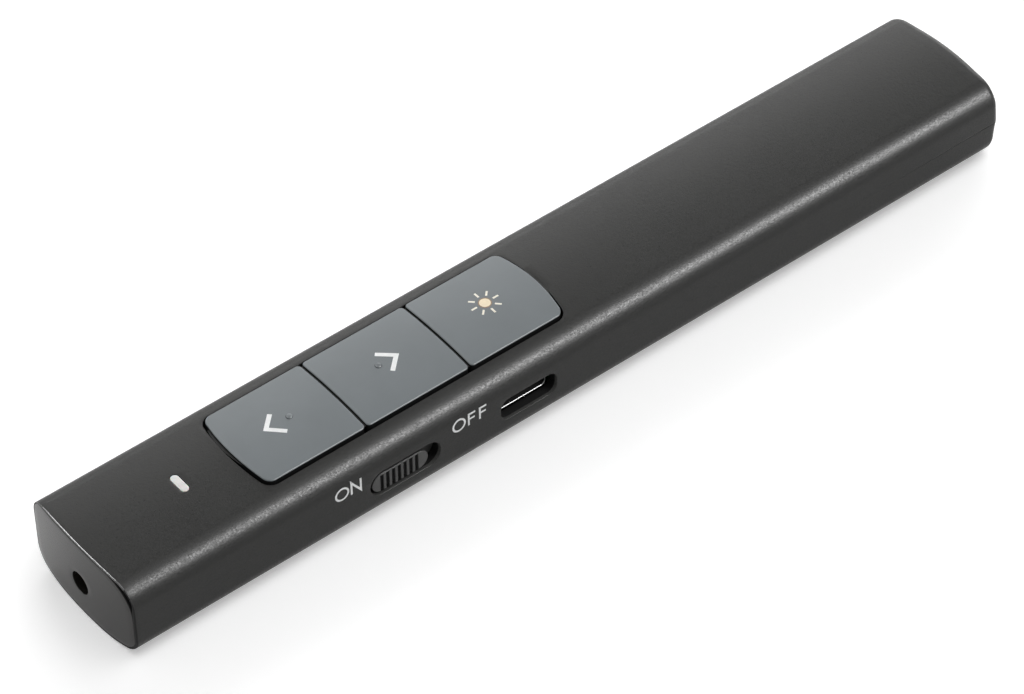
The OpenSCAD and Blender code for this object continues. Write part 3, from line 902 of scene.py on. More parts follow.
TURNED_BRASS = SheetMetal((0.72, 0.52, 0.24), (1.0, 0.1, 0.1), (0.2, 0.34))
WHITE_INK = PrintInk((0.84, 0.85, 0.85))
CREAM_INK = PrintInk((0.86, 0.74, 0.52))
PALE_INK = PrintInk((0.86, 0.82, 0.7))
BROWN_INK = PrintInk((0.3, 0.19, 0.1))
WINDOW_MILKY = MilkyPlastic((0.72, 0.72, 0.7))
LED_MILKY = MilkyPlastic((0.8, 0.78, 0.6), depth=0.3)

INNER_FINISHES: tuple[tuple[str, Finish, str], ...] = (
    ("solder_mask", SolderMask(), "circuit_board"),
    ("plated_steel", PLATED_STEEL, "board_screws switch_domes laser_diode slide_switch radio_crystal"),
    ("turned_brass", TURNED_BRASS, "laser_barrel usb_contacts"),
    ("lens_glass", PolishedGlass(), "laser_lens"),
    (
        "moulded_black",
        MOULDED_BLACK,
        "back_switch forward_switch laser_switch back_stem forward_stem laser_stem slide_lever usb_tongue",
    ),
    ("chip_epoxy", CHIP_EPOXY, "controller_chip charge_chip"),
    ("fired_ceramic", FIRED_CERAMIC, "chip_antenna board_passives"),
    ("led_milky", LED_MILKY, "status_led"),
    ("foil_pouch", FoilPouch(), "battery_cell"),
    ("cell_foam", CellFoam(), "battery_pad"),
    ("polyimide", POLYIMIDE, "protection_board"),
    ("lead_silicone", TwoLeads(), "battery_leads"),
)


@dataclass
class InnerWorks:
    """The CAD nodes that stay as they are.

    Attributes:
        finishes: Name of a material, its finish and the nodes that wear it.
    """

    finishes: tuple[tuple[str, Finish, str], ...] = INNER_FINISHES

    def build(self) -> None:
        """Gives every kept node its finish."""
        for name, finish, nodes in self.finishes:
            material = finish.material(name)
            for node in nodes.split():
                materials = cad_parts[node].data.materials
                materials.clear()
                materials.append(material)
                log.info("%s is dressed in %s", node, name)


# ---------------------------------------------------------------- the bar's form


@dataclass(frozen=True)
class Rim:
    """One point of the section.

    Attributes:
        y: Its place across the bar.
        z: Its height.
        ny: Y of its outward normal.
        nz: Z of its outward normal.
        tuck: How far it goes in at the seam, in sizes of the seam's edge.
        climb: How far it goes away from the seam, in the same sizes.
    """

    y: float
    z: float
    ny: float
    nz: float
    tuck: float = 0.0
    climb: float = 0.0

    def inward(self, inset: float) -> Flat:
        """Its place, pulled in against its normal."""
        return (self.y - inset * self.ny, self.z - inset * self.nz)


def arc_rims(cy: float, cz: float, r: float, start: float, end: float, count: int) -> list[Rim]:
    """Points of a section along an arc between two angles, with both ends."""
    turns = [mix(start, end, t) for t in steps(count)]
    return [Rim(*polar(cy, cz, r, a), math.cos(a), math.sin(a)) for a in turns]


@dataclass(frozen=True)
class BarForm:
    """The outer form of the bar, and the faces a wall inside it.

    Attributes hold the same sizes as the part's source: length, width and height, crown and
    corner radii of the section, bows and edges of the two ends, the wall and the parting line.
    The last four say where along the section the tail's edge and the cap's rim get smaller.
    """

    length: float = 137.0
    width: float = 20.2
    height: float = 12.1
    top_crown: float = 0.85
    top_corner: float = 3.2
    base_crown: float = 1.2
    base_corner: float = 2.6
    base_flat: float = 7.0
    nose_bow: float = 0.75
    tail_bow: float = 0.85
    tail_edge: float = 1.15
    tail_corner: float = 0.9
    tail_draft: float = 0.75
    foot_edge: float = 1.2
    foot_draft: float = 0.3
    wall: float = 1.5
    seam: float = 5.9
    cap: float = 0.6
    cap_gap: float = 0.08
    cap_rim: float = 0.3
    cap_corner: float = 4.7
    tail_sides: Flat = (5.0, 8.0)
    tail_rise: Flat = (4.0, 9.0)
    rim_span: Flat = (5.0, 9.5)
    rim_loss: float = 0.7

    @property
    def half(self) -> float:
        """Half the width."""
        return self.width / 2

    @property
    def nose(self) -> float:
        """X of the nose."""
        return -self.length / 2

    @property
    def crown(self) -> float:
        """Radius of the top face."""
        return bow_radius(self.half, self.top_crown)

    @property
    def corner(self) -> Point:
        """Middle of the upper corner's arc, and the angle at which it meets the crown.

        Returns:
            Y, Z and the angle in radians.
        """
        cy, low = self.half - self.top_corner, self.height - self.crown
        cz = low + math.sqrt((self.crown - self.top_corner) ** 2 - cy * cy)
        return (cy, cz, math.atan2(cz - low, cy))

    def top_z(self, y: float) -> float:
        """Height of the outer surface over a place on the upper half.

        Args:
            y: Place across the bar.

        Returns:
            The height.
        """
        cy, cz, tilt = self.corner
        if abs(y) <= cy + self.top_corner * math.cos(tilt):
            return self.height - self.crown + math.sqrt(self.crown**2 - y * y)
        return cz + math.sqrt(max(self.top_corner**2 - (abs(y) - cy) ** 2, 0.0))

    def under_top(self, p: Flat, depth: float) -> Point:
        """A point of a plan, at a depth under the top face."""
        return (p[0], p[1], self.top_z(p[1]) - depth)

    def in_wall(self, x: float, z: float) -> Lift:
        """The way to put points around a place of the side wall at a depth in it."""
        return lambda p, depth: (p[0] + x, -self.half + depth, p[1] + z)

    def on_wall(self, p: Flat, height: float) -> Point:
        """A point of an elevation, at a height over the side wall and its rounded edge.

        Args:
            p: X and Z of the point.
            height: Height over the wall.

        Returns:
            The point.
        """
        cy, cz, _ = self.corner
        if p[1] <= cz:
            return (p[0], -self.half - height, p[1])
        return (p[0], -cy - math.sqrt(max(self.top_corner**2 - (p[1] - cz) ** 2, 0.0)) - height, p[1])

    def front_x(self, y: float, depth: float = 0.0) -> float:
        """X of the bowed nose at a depth behind its face."""
        arc = bow_radius(self.half, self.nose_bow)
        return self.nose + arc - math.sqrt((arc - depth) ** 2 - y * y)

    def tail_x(self, y: float, z: float) -> float:
        """X of the bowed and leaning tail face.

        Args:
            y: Place across the bar.
            z: Height.

        Returns:
            The place along the bar.
        """
        arc = bow_radius(self.half, self.tail_bow)
        bow = self.length / 2 - arc + math.sqrt(arc**2 - y * y)
        if z >= self.seam:
            return bow - self.tail_draft * (z - self.seam) / (self.height - self.tail_edge - self.seam)
        return bow - self.foot_draft * (self.seam - z) / (self.seam - self.foot_edge)

    def tail_round(self, y: float, z: float) -> float:
        """Radius of the edge around the tail, smaller at its two upper corners."""
        top = mix(self.tail_edge, self.tail_corner, smooth(self.tail_sides, abs(y)))
        return mix(self.foot_edge, top, smooth(self.tail_rise, z))

    def rim_cut(self, y: float) -> float:
        """Share that the rim around the cap loses toward the +Y side."""
        return self.rim_loss * smooth(self.rim_span, y)

    def section(self, half: Half) -> list[Rim]:
        """The section of one shell from the -Y seam over its middle to the +Y seam.

        Args:
            half: Which shell.

        Returns:
            The points with their outward normals; the first four at each end shape the seam's edge.
        """
        side = self._upper_side() if half is Half.UPPER else self._lower_side()
        climbs = ((1.0, 0.0), (0.3, 0.3), (0.0, 1.0), (0.0, 3.0))
        right = [Rim(self.half, self.seam, 1, 0, tuck, climb * half.value) for tuck, climb in climbs] + side
        left = [replace(p, y=-p.y, ny=-p.ny) for p in right]
        return left[:-1] + right[::-1]

    def _wall_rims(self, end: float) -> list[Rim]:
        """The side wall between the seam and a corner, without both ends."""
        return [Rim(self.half, mix(self.seam, end, t), 1, 0) for t in steps(5)[1:-1]]

    def _upper_side(self) -> list[Rim]:
        """The +Y side above the seam, up to the middle.

        Returns:
            The points in order.
        """
        cy, cz, tilt = self.corner
        rims = self._wall_rims(cz) + arc_rims(cy, cz, self.top_corner, 0.0, tilt, 18)
        rims += arc_rims(0.0, self.height - self.crown, self.crown, tilt, math.pi / 2, 12)[1:]
        return rims[:-1] + [replace(rims[-1], y=0.0, ny=0.0)]

    def _lower_side(self) -> list[Rim]:
        """The +Y side below the seam, down to the middle of the underside.

        Returns:
            The points in order.
        """
        flat = self.base_flat / 2
        base = bow_radius(self.half - flat, self.base_crown)
        fy = self.half - self.base_corner
        fz = base - math.sqrt((base - self.base_corner) ** 2 - (fy - flat) ** 2)
        tilt = math.atan2(fz - base, fy - flat)
        rims = self._wall_rims(fz) + arc_rims(fy, fz, self.base_corner, 0.0, tilt, 16)
        rims += arc_rims(flat, base, base, tilt, -math.pi / 2, 6)[1:]
        return rims + [Rim(flat * (1 - t), 0.0, 0.0, -1.0) for t in steps(4)[1:]]

    def outline(self, inset: float) -> list[Flat]:
        """The closed section around both shells, pulled in on every side."""
        upper, lower = ([p for p in self.section(h) if p.tuck == p.climb == 0] for h in Half)
        return [p.inward(inset) for p in upper + lower[::-1]]


@dataclass(frozen=True)
class Opening:
    """A cutter whose upper edge leaves a small round edge on the surface that it cuts.

    Attributes:
        name: Name of the cutter.
        outline: The opening's outline, pushed out by a distance.
        lift: Puts a point of the outline at a depth under the surface.
        edge: Radius of the round edge.
        painted_light: Depth down to which the wall of the opening is painted a lighter grey, as painted
            light.
        deep: Depth of the cutter.
        out: Reach of the cutter over the surface.
        flare: Angle at which the round edge ends in the surface.
        shared: Whether the parting line runs through the opening.
    """

    name: str
    outline: Callable[[float], list[Flat]]
    lift: Lift
    edge: float
    painted_light: float = 0.0
    deep: float = 2.6
    out: float = 1.2
    flare: float = 75.0
    shared: bool = True

    def _ring(self, grow: float, depth: float) -> Ring:
        """The outline pushed out, at a depth."""
        return [self.lift(p, depth) for p in self.outline(grow)]

    def solid(self, *materials: Paint) -> Piece:
        """Builds the cutter.

        Args:
            materials: Coat of the surface, near-black painted shade deep inside the wall, and a lighter grey
                of painted light on the band between the two.

        Returns:
            A closed solid that starts deep in the wall and opens out over its surface.
        """
        edge = round_edge(self.edge, 5, self.flare)
        a = math.radians(self.flare)
        edge.append((edge[-1][0] + self.out * math.sin(a), edge[-1][1] - self.out * math.cos(a)))
        rings = [self._ring(grow, depth) for grow, depth in edge]
        deep = [self._ring(0.0, depth) for depth in (self.deep, max(self.painted_light, self.edge + 0.01))]
        skin = Skin()
        skin.lid(skin.strip((1, deep), (2, rings[:1]), (0, rings[1:]), foot=True)[-1])
        return skin.finish(self.name, *materials)


@dataclass
class HousingShells:
    """The two shells of the bar, parted along the seam, with their openings.

    Attributes:
        form: The outer form.
        stations: Rings along the bar.
        seam_sizes: Size of the seam's edge near the nose and at the tail.
        seam_span: The part of the bar over which it grows.
        front_edge: Radius of the front edge around the nose cap.
        front_steps: Segments of that edge.
        inner_edge: Radius of the inner corners at the tail.
        face_rings: Size of the rings on the tail's face, against its outline.
        thin_y: Y before which the rim gets thinner at its upper corner.
        thin_z: Height of the thinnest place, and how far it spreads.
        thin_loss: Share that the rim loses there.
        top_slope: Upward part of a normal from which a point counts as the top's.
    """

    form: BarForm
    stations: int = 104
    seam_sizes: Flat = (0.012, 0.085)
    seam_span: Flat = (42.0, 64.0)
    front_edge: float = 0.17
    front_steps: int = 5
    inner_edge: float = 0.5
    face_rings: tuple[float, ...] = (0.93, 0.85, 0.7, 0.55, 0.4, 0.25, 0.12, 0.0)
    thin_y: float = -7.0
    thin_z: Flat = (9.9, 1.3)
    thin_loss: float = 0.65
    top_slope: float = 0.8

    def thin(self, p: Rim) -> float:
        """Share left of the rim around the cap, thinner at its upper -Y corner and on the +Y side.

        Args:
            p: Point of the section.

        Returns:
            The share.
        """
        if p.y < self.thin_y:
            return 1 - self.thin_loss * math.exp(-(((p.z - self.thin_z[0]) / self.thin_z[1]) ** 2))
        return 1 - self.form.rim_cut(p.y)

    def _eased(self, p: Rim, place: Point, out: Point, inner: bool) -> Point:
        """Moves a seam point in along the outward normal, and up or down from the seam.

        Args:
            p: Point of the section.
            place: Where it would be with a sharp seam.
            out: The skin's outward normal there.
            inner: Whether it is on the inner skin, whose seam stays sharp.

        Returns:
            The point.
        """
        size = 0.0 if inner else mix(*self.seam_sizes, smooth(self.seam_span, place[0]))
        tuck = p.tuck * size
        x, y, z = place
        return (x - tuck * out[0], y - tuck * out[1], z + p.climb * size - tuck * out[2])

    def _front_ring(self, rims: list[Rim], depth: float, inset: float, a: float, inner: bool) -> Ring:
        """A ring at a depth behind the bowed front, its normals turned forward by an angle.

        Args:
            rims: The section.
            depth: Depth behind the front.
            inset: How far the ring is pulled in; the rim gets thinner at every inset but the wall's.
            a: Angle of the normals, in radians.
            inner: Whether it is on the inner skin.

        Returns:
            The ring.
        """
        form, s, c = self.form, math.sin(a), math.cos(a)
        seat = form.cap + form.cap_gap
        ring: Ring = []
        for p in rims:
            share = 1.0 if inset == form.wall else self.thin(p)
            y, z = p.inward(inset * share)
            x = form.front_x(y, depth * (share if depth < seat else 1.0))
            ring.append(self._eased(p, (x, y, z), (-s, c * p.ny, c * p.nz), inner))
        return ring

    def _tail_point(self, p: Rim, inset: float, angle: float, share: float) -> Point:
        """A point on the tail's rounded edge or on its face.

        Args:
            p: Point of the section.
            inset: 0 for the outer skin, else the wall.
            angle: Place on the rounded edge, in radians.
            share: 1 at the edge of the face, 0 at its middle.

        Returns:
            The point.
        """
        form = self.form
        c, s = math.cos(angle), math.sin(angle)
        y, z = p.inward(inset)
        r = self.inner_edge if inset else form.tail_round(y, z)
        y, z = (y - r * (1 - c) * p.ny) * share, z - r * (1 - c) * p.nz
        z = form.seam + (z - form.seam) * share
        x = form.tail_x(y, z) - inset - r * (1 - s)
        return self._eased(p, (x, y, z), (s, c * p.ny, c * p.nz), inset > 0)

    def skin_rings(self, half: Half, inset: float) -> list[Ring]:
        """Rings of the outer skin, or of the inner one when inset is the wall.

        Args:
            half: Which shell.
            inset: 0 for the outer skin, else the wall.

        Returns:
            Open rings from the front edge to the middle of the tail.
        """
        form, rims, inner = self.form, self.form.section(half), inset > 0
        seat = form.cap + form.cap_gap
        rings: list[Ring] = []
        for k in range(self.front_steps + 1):
            a = math.radians(90 - 90 * k / self.front_steps)
            depth, pull = (self.front_edge * (1 - f(a)) for f in (math.sin, math.cos))
            depth, pull = (0.0, form.cap_rim) if inner else (depth, pull)
            rings.append(self._front_ring(rims, depth, pull, a, inner))
        for pull in (form.cap_rim if inner else 0.0, inset):
            rings.append(self._front_ring(rims, seat, pull, 0.0, inner))
        for t in steps(self.stations):
            ring = []
            for p in rims:
                y, z = p.inward(inset)
                r = self.inner_edge if inner else form.tail_round(y, z)
                x = mix(form.front_x(y, seat), form.tail_x(y, z) - inset - r, t)
                ring.append(self._eased(p, (x, y, z), (0.0, p.ny, p.nz), inner))
            rings.append(ring)
        turns = [(math.radians(10 * k), 1.0) for k in range(1, 10)]
        turns += [(math.pi / 2, share) for share in self.face_rings]
        return rings + [[self._tail_point(p, inset, a, share) for p in rims] for a, share in turns]

    def shell(self, half: Half, name: str, *materials: Paint) -> Piece:
        """Builds one shell as a closed solid, without its openings.

        Args:
            half: Which shell.
            name: Name of the piece.
            materials: Coat of the outer skin, near-black painted shade on the inside and on the front edge on
                the -Y side, and worn plastic of the front edge along the top.

        Returns:
            The piece.
        """
        skin = Skin()
        rings = self.skin_rings(half, 0.0)
        front = skin.loft(rings[: self.front_steps + 1], closed=False)
        rims = self.form.section(half)[:-1]
        # On the front edge round the cap, the -Y side gets near-black painted shade for the gap there, the
        # top worn plastic.
        skin.slots = [2 if p.nz > self.top_slope else int(p.y < 0) for p in rims] * self.front_steps
        outer = front[:-1] + skin.loft(rings[self.front_steps :], closed=False)
        skin.slot = 1
        inner = skin.loft(self.skin_rings(half, self.form.wall), closed=False)
        for side in (0, -1):
            skin.bridge([r[side] for r in outer], [r[side] for r in inner], closed=False)
        skin.bridge(outer[0], inner[0], closed=False)
        return skin.finish(name, *materials, sharp=SHELL_SHARP)

    def build(self, openings: Sequence[Opening]) -> None:
        """Builds both shells with their openings and hangs them on the housing.

        Args:
            openings: Cutters; the lower shell takes those that the parting line runs through.
        """
        # Near-black painted shade inside, and a lighter grey of painted light on the band under the openings'
        # edges.
        coat, painted_shade = SOFT_TOUCH.material("soft_touch"), PAINTED_SHADE_BLACK.material("bare_black")
        worn, painted_light = EDGE_WORN.material("edge_worn"), PAINTED_LIGHT_GREY.material("raw_grey")
        for half in Half:
            part = half.name.lower()
            piece = self.shell(half, f"shell_{part}", coat, painted_shade, worn)
            used = [o for o in openings if half is Half.UPPER or o.shared]
            combine(piece, [o.solid(coat, painted_shade, painted_light) for o in used], "DIFFERENCE")
            dress(piece, Body.HOUSING, "shell", f"{part}_housing")


# ---------------------------------------------------------------- prints


def ribbon(path: Sequence[Flat], width: float, cuts: int = 6, closed: bool = False) -> list[Pair]:
    """Left and right points along a stroke with mitred corners.

    Args:
        path: Middle line of the stroke.
        width: Width of the stroke.
        cuts: Pieces that each straight part is cut into.
        closed: Whether the stroke runs back to its start.

    Returns:
        Pairs of points; a closed stroke repeats its first pair at the end.
    """
    count = len(path)
    legs = [Vector((b[0] - a[0], b[1] - a[1])).normalized() for a, b in zip(path, [*path[1:], path[0]])]
    pairs: list[Pair] = []
    for i, (x, y) in enumerate(path):
        ways = [legs[i - 1]] if closed or i > 0 else []
        ways += [legs[i]] if closed or i < count - 1 else []
        way = sum(ways, Vector((0.0, 0.0))).normalized()
        side = Vector((-way.y, way.x))
        reach = width / 2 / max(side.dot(Vector((-ways[0].y, ways[0].x))), LEAST_MITRE)
        pairs.append(((x + side.x * reach, y + side.y * reach), (x - side.x * reach, y - side.y * reach)))
    if closed:
        pairs.append(pairs[0])
    fine = [pairs[0]]
    for (a, b), (c, d) in zip(pairs, pairs[1:]):
        fine += [(between(a, c, k / cuts), between(b, d, k / cuts)) for k in range(1, cuts + 1)]
    return fine


def ring_band(centre: Flat, inner: float, outer: float) -> list[Pair]:
    """Pairs of points round a ring, or round a disc when inner is 0."""
    pairs = list(zip(oval(*centre, outer, outer), oval(*centre, inner, inner)))
    return pairs + pairs[:1]


def ink_relief(name: str, shapes: Sequence[list[Pair]], lay: Lift, ink: Paint) -> Piece:
    """Turns ribbons into thin closed prints on a surface.

    Args:
        name: Name of the piece.
        shapes: Pairs of left and right points, ribbon by ribbon.
        lay: Puts a flat point at a height over the surface.
        ink: The ink.

    Returns:
        The piece.
    """
    skin = Skin()
    for pairs in shapes:
        rings = []
        for left, right in pairs:
            ends = [left, ((left[0] + right[0]) / 2, (left[1] + right[1]) / 2), right]
            rings.append([lay(p, INK_RISE) for p in ends] + [lay(p, -INK_ROOT) for p in reversed(ends)])
        if pairs[0] == pairs[-1]:
            skin.loft(rings)
        else:
            skin.rod(rings)
    return skin.finish(name, ink)


# ---------------------------------------------------------------- keys


@dataclass(frozen=True)
class KeyCap:
    """One key's own facts.

    Attributes:
        node: CAD node that it stands for.
        body: Body that it moves with.
        start: X of its nose end.
        end: X of its tail end.
        bows: Bow of its two ends.
        radii: Corner radii at its two ends.
        reach: How far its flange stands out at each end.
    """

    node: str
    body: Body
    start: float
    end: float
    bows: Flat
    radii: Flat
    reach: Flat = (0.0, 0.0)

    @property
    def middle(self) -> float:
        """X of its middle."""
        return (self.start + self.end) / 2


@dataclass
class KeyRow:
    """Three crowned keys in one pocket, with their dots and symbols.

    Attributes hold the row's sizes as in the part's source, then those of the pocket's edge,
    of the raised dots and of the prints. A chevron is a name, a body, and the X of its two ends
    and of its tip; the sun's sizes are its X, its shift along Y and the radii of disc and edge.
    """

    form: BarForm
    width: float = 13.2
    proud: float = 0.4
    clear: float = 0.35
    bow: float = 0.8
    edge: float = 0.15
    wall: float = 1.1
    flange_low: float = 9.1
    flange_top: float = 9.9
    flange_reach: float = 0.85
    bevel: float = 0.05
    roof: float = 11.04
    boss_r: float = 1.75
    boss_low: float = 8.7
    caps: tuple[KeyCap, ...] = (
        KeyCap("back_button", Body.BACK_KEY, -46.6, -31.725, (0.8, 0.0), (1.0, 0.5), (0.85, 0.0)),
        KeyCap("forward_button", Body.FORWARD_KEY, -31.375, -16.225, (0.0, 0.0), (0.5, 0.5)),
        KeyCap("laser_button", Body.LASER_KEY, -15.875, -1.0, (0.0, 0.8), (0.5, 1.0), (0.0, 0.85)),
    )
    top_rings: tuple[float, ...] = (0.97, 0.9, 0.8, 0.68, 0.56, 0.44, 0.32, 0.2, 0.1, 0.0)
    pocket_edge: float = 0.07
    pocket_out: float = 0.8
    dots: Flat = (-37.84, -24.65)
    dot_r: float = 0.45
    dot_rise: float = 0.22
    dot_root: float = 0.15
    dot_sides: int = 32
    legend_y: float = 0.2
    chevrons: tuple[tuple[str, Body, float, float], ...] = (
        ("back_chevron", Body.BACK_KEY, -39.42, -41.22),
        ("forward_chevron", Body.FORWARD_KEY, -23.84, -21.94),
    )
    chevron_half: float = 1.75
    chevron_tip: float = 0.02
    stroke: float = 0.58
    sun: tuple[float, ...] = (-8.25, 0.25, 0.72, 0.86)

    def crown_z(self, y: float) -> float:
        """Height of the keys' crowned top."""
        r = self.form.crown + self.proud
        return self.form.height + self.proud - r + math.sqrt(r * r - y * y)

    def over_top(self, p: Flat, height: float) -> Point:
        """A point of a plan, at a height over the keys' top."""
        return (p[0], p[1], self.crown_z(p[1]) + height)

    def outline(
        self, cap: KeyCap, grow: float, half: Optional[float] = None, reach: Flat = (0.0, 0.0)
    ) -> list[Flat]:
        """A key's outline from above.

        Args:
            cap: The key.
            grow: How far it is pushed out on every side.
            half: Half the width before that, or None for the key's own.
            reach: More length at the two ends.

        Returns:
            Points that match from one outline to the next.
        """
        base = self.width / 2
        start, end = cap.start - grow - reach[0], cap.end + grow + reach[1]
        ring = round_rect(start, end, (half or base) + grow, (cap.radii[0] + grow, cap.radii[1] + grow))
        middle, run = (start + end) / 2, (end - start) / 2
        bent: list[Flat] = []
        for x, y in ring:
            share = (x - middle) / run
            bow = (y / base) ** 2
            bent.append((x + bow * (cap.bows[0] * max(-share, 0.0) - cap.bows[1] * max(share, 0.0)), y))
        return bent

    def pocket(self) -> Opening:
        """The cutter of the pocket around all three keys.

        Returns:
            The cutter.
        """
        ends = self.caps[0].start, self.caps[2].end
        whole = KeyCap("", Body.HOUSING, *ends, (self.bow, self.bow), (1.0, 1.0))
        return Opening(
            "key_pocket", lambda grow: self.outline(whole, self.clear + grow), self.form.under_top,
            self.pocket_edge, out=self.pocket_out, shared=False,
        )

    def cap_mesh(self, cap: KeyCap, *materials: Paint) -> Piece:
        """Builds one key: flange, walls, rounded edge, crowned top and the boss inside.

        Args:
            cap: The key.
            materials: Slate of its top and of the rounded edge, then near-black painted shade on all under
                that.

        Returns:
            The key's piece.
        """
        low, high, bevel = self.flange_low, self.flange_top, self.bevel
        wide = self.width / 2 + self.flange_reach
        own, top, hollow = (self.outline(cap, -pull) for pull in (0.0, self.edge, self.wall))
        levels = ((-bevel, low), (0.0, low + bevel), (0.0, high - bevel), (-bevel, high))
        rings = [level(self.outline(cap, grow, wide, cap.reach), z) for grow, z in levels]
        sides = rings + [level(own, high), [self.over_top(p, -self.edge) for p in own]]
        rings = []
        for pull, depth in round_edge(self.edge, 6)[1:]:
            rings.append([self.over_top(p, -depth) for p in self.outline(cap, -pull)])
        for t in self.top_rings:
            rings.append([self.over_top(between((cap.middle, 0.0), p, t), 0.0) for p in top])
        skin = Skin()
        # Walls and flange in painted shade, rounded edge and top in slate.
        made = skin.strip((1, sides), (0, rings))
        skin.slot = 1
        boss = [polar(cap.middle, 0.0, self.boss_r, math.atan2(y, x - cap.middle)) for x, y in hollow]
        point = [(cap.middle, 0.0)] * len(boss)
        inside = ((hollow, low), (hollow, self.roof), (boss, self.roof), (boss, self.boss_low))
        under = skin.loft([level(ring, z) for ring, z in (*inside, (point, self.boss_low))])
        skin.bridge(made[0], under[0])
        piece = skin.finish(cap.node + "_cap", *materials)
        dots = [self._dot(x, *materials) for x in self.dots if cap.start < x < cap.end]
        if dots:
            combine(piece, dots, "UNION")
        return piece

    def _dot(self, x: float, *materials: Paint) -> Piece:
        """A raised dot as a closed dome with a foot in painted shade, which starts under the key's top.

        Args:
            x: Place along the bar.
            materials: Those of the key.

        Returns:
            A closed solid.
        """
        bulge = bow_radius(self.dot_r, self.dot_rise)
        levels = [(self.dot_r, -self.dot_root)]
        for k in range(9):
            h = self.dot_rise * math.sin(math.radians(90 * k / 8))
            levels.append((math.sqrt(max(bulge**2 - (bulge - self.dot_rise + h) ** 2, 0.0)), h))
        base = self.crown_z(0.0)
        rings = [level(oval(x, self.legend_y, r, r, self.dot_sides), base + h) for r, h in levels]
        skin = Skin()
        # The lowest rings take the key's painted shade, as a dark ring round the dot.
        skin.strip((1, rings[:3]), (0, rings[3:]), foot=True)
        return skin.finish("dot", *materials)

    def build(self) -> None:
        """Builds the keys and their symbols and hangs them on their bodies."""
        slate, flank_shade = KEY_SLATE.material("key_slate"), KEY_PAINTED_SHADE.material("key_flank")
        for cap in self.caps:
            dress(self.cap_mesh(cap, slate, flank_shade), cap.body, "key", cap.node)
        white = WHITE_INK.material("legend_white")
        for name, body, ends, tip in self.chevrons:
            path = [(ends, self.chevron_half), (tip, self.chevron_tip), (ends, -self.chevron_half)]
            shape = ribbon([(x, y + self.legend_y) for x, y in path], self.stroke)
            dress(ink_relief(name, [shape], self.over_top, white), body, "key")
        self.build_sun()

    def build_sun(self) -> None:
        """Builds the lamp symbol of the laser key: a disc, its outline and eight rays."""
        x, shift, disc, edge = self.sun
        centre = (x, self.legend_y + shift)
        bands = (("disc", 0.0, disc, CREAM_INK, "cream"), ("edge", disc, edge, BROWN_INK, "brown"))
        pieces = []
        for name, inner, outer, ink, colour in bands:
            shape, ink = ring_band(centre, inner, outer), ink.material(f"legend_{colour}")
            pieces.append(ink_relief(f"sun_{name}", [shape], self.over_top, ink))
        pieces.append(RayRing(centre, self).build(PALE_INK.material("legend_pale")))
        for piece in pieces:
            dress(piece, Body.LASER_KEY, "key")


@dataclass
class RayRing:
    """Eight rays around the lamp symbol.

    Attributes:
        centre: X and Y of the symbol.
        row: The keys that it is printed on.
        count: Number of rays.
        start: Radius at which a ray starts.
        end: Radius at which it ends.
        wide: Width of a ray.
    """

    centre: Flat
    row: KeyRow
    count: int = 8
    start: float = 1.22
    end: float = 2.05
    wide: float = 0.26

    def build(self, ink: Paint) -> Piece:
        """Repeats one ray around the disc and lays the rays on the key.

        Args:
            ink: The ink of the rays.

        Returns:
            The rays as one piece.
        """
        half = (self.end - self.start) / 2
        pairs = ribbon([(-half, 0.0), (half, 0.0)], self.wide, 4)
        ray = Skin()
        ray.rod([level(pair, 0.0) + level(pair[::-1], -INK_ROOT) for pair in pairs])
        recipe = NodeRecipe("ray_ring", ray.finish("ray_pattern"))
        recipe.ask("Count", "NodeSocketInt", self.count)
        recipe.ask("Radius", "NodeSocketFloat", (self.start + self.end) / 2 * MM)
        feeds = {"Vertices": recipe.given("Count"), "Radius": recipe.given("Radius")}
        circle = recipe.add("GeometryNodeMeshCircle", feeds)
        place = recipe.add("GeometryNodeInputPosition")
        aim = recipe.add("FunctionNodeAlignRotationToVector", {"Vector": place.outputs["Position"]}, axis="X")
        rays = recipe.build("sun_rays", circle.outputs["Mesh"], ink, Rotation=aim.outputs["Rotation"])
        for v in rays.data.vertices:
            x, y = v.co.x / MM + self.centre[0], v.co.y / MM + self.centre[1]
            v.co = [c * MM for c in self.row.over_top((x, y), INK_RISE + v.co.z / MM)]
        return rays


# ---------------------------------------------------------------- nose


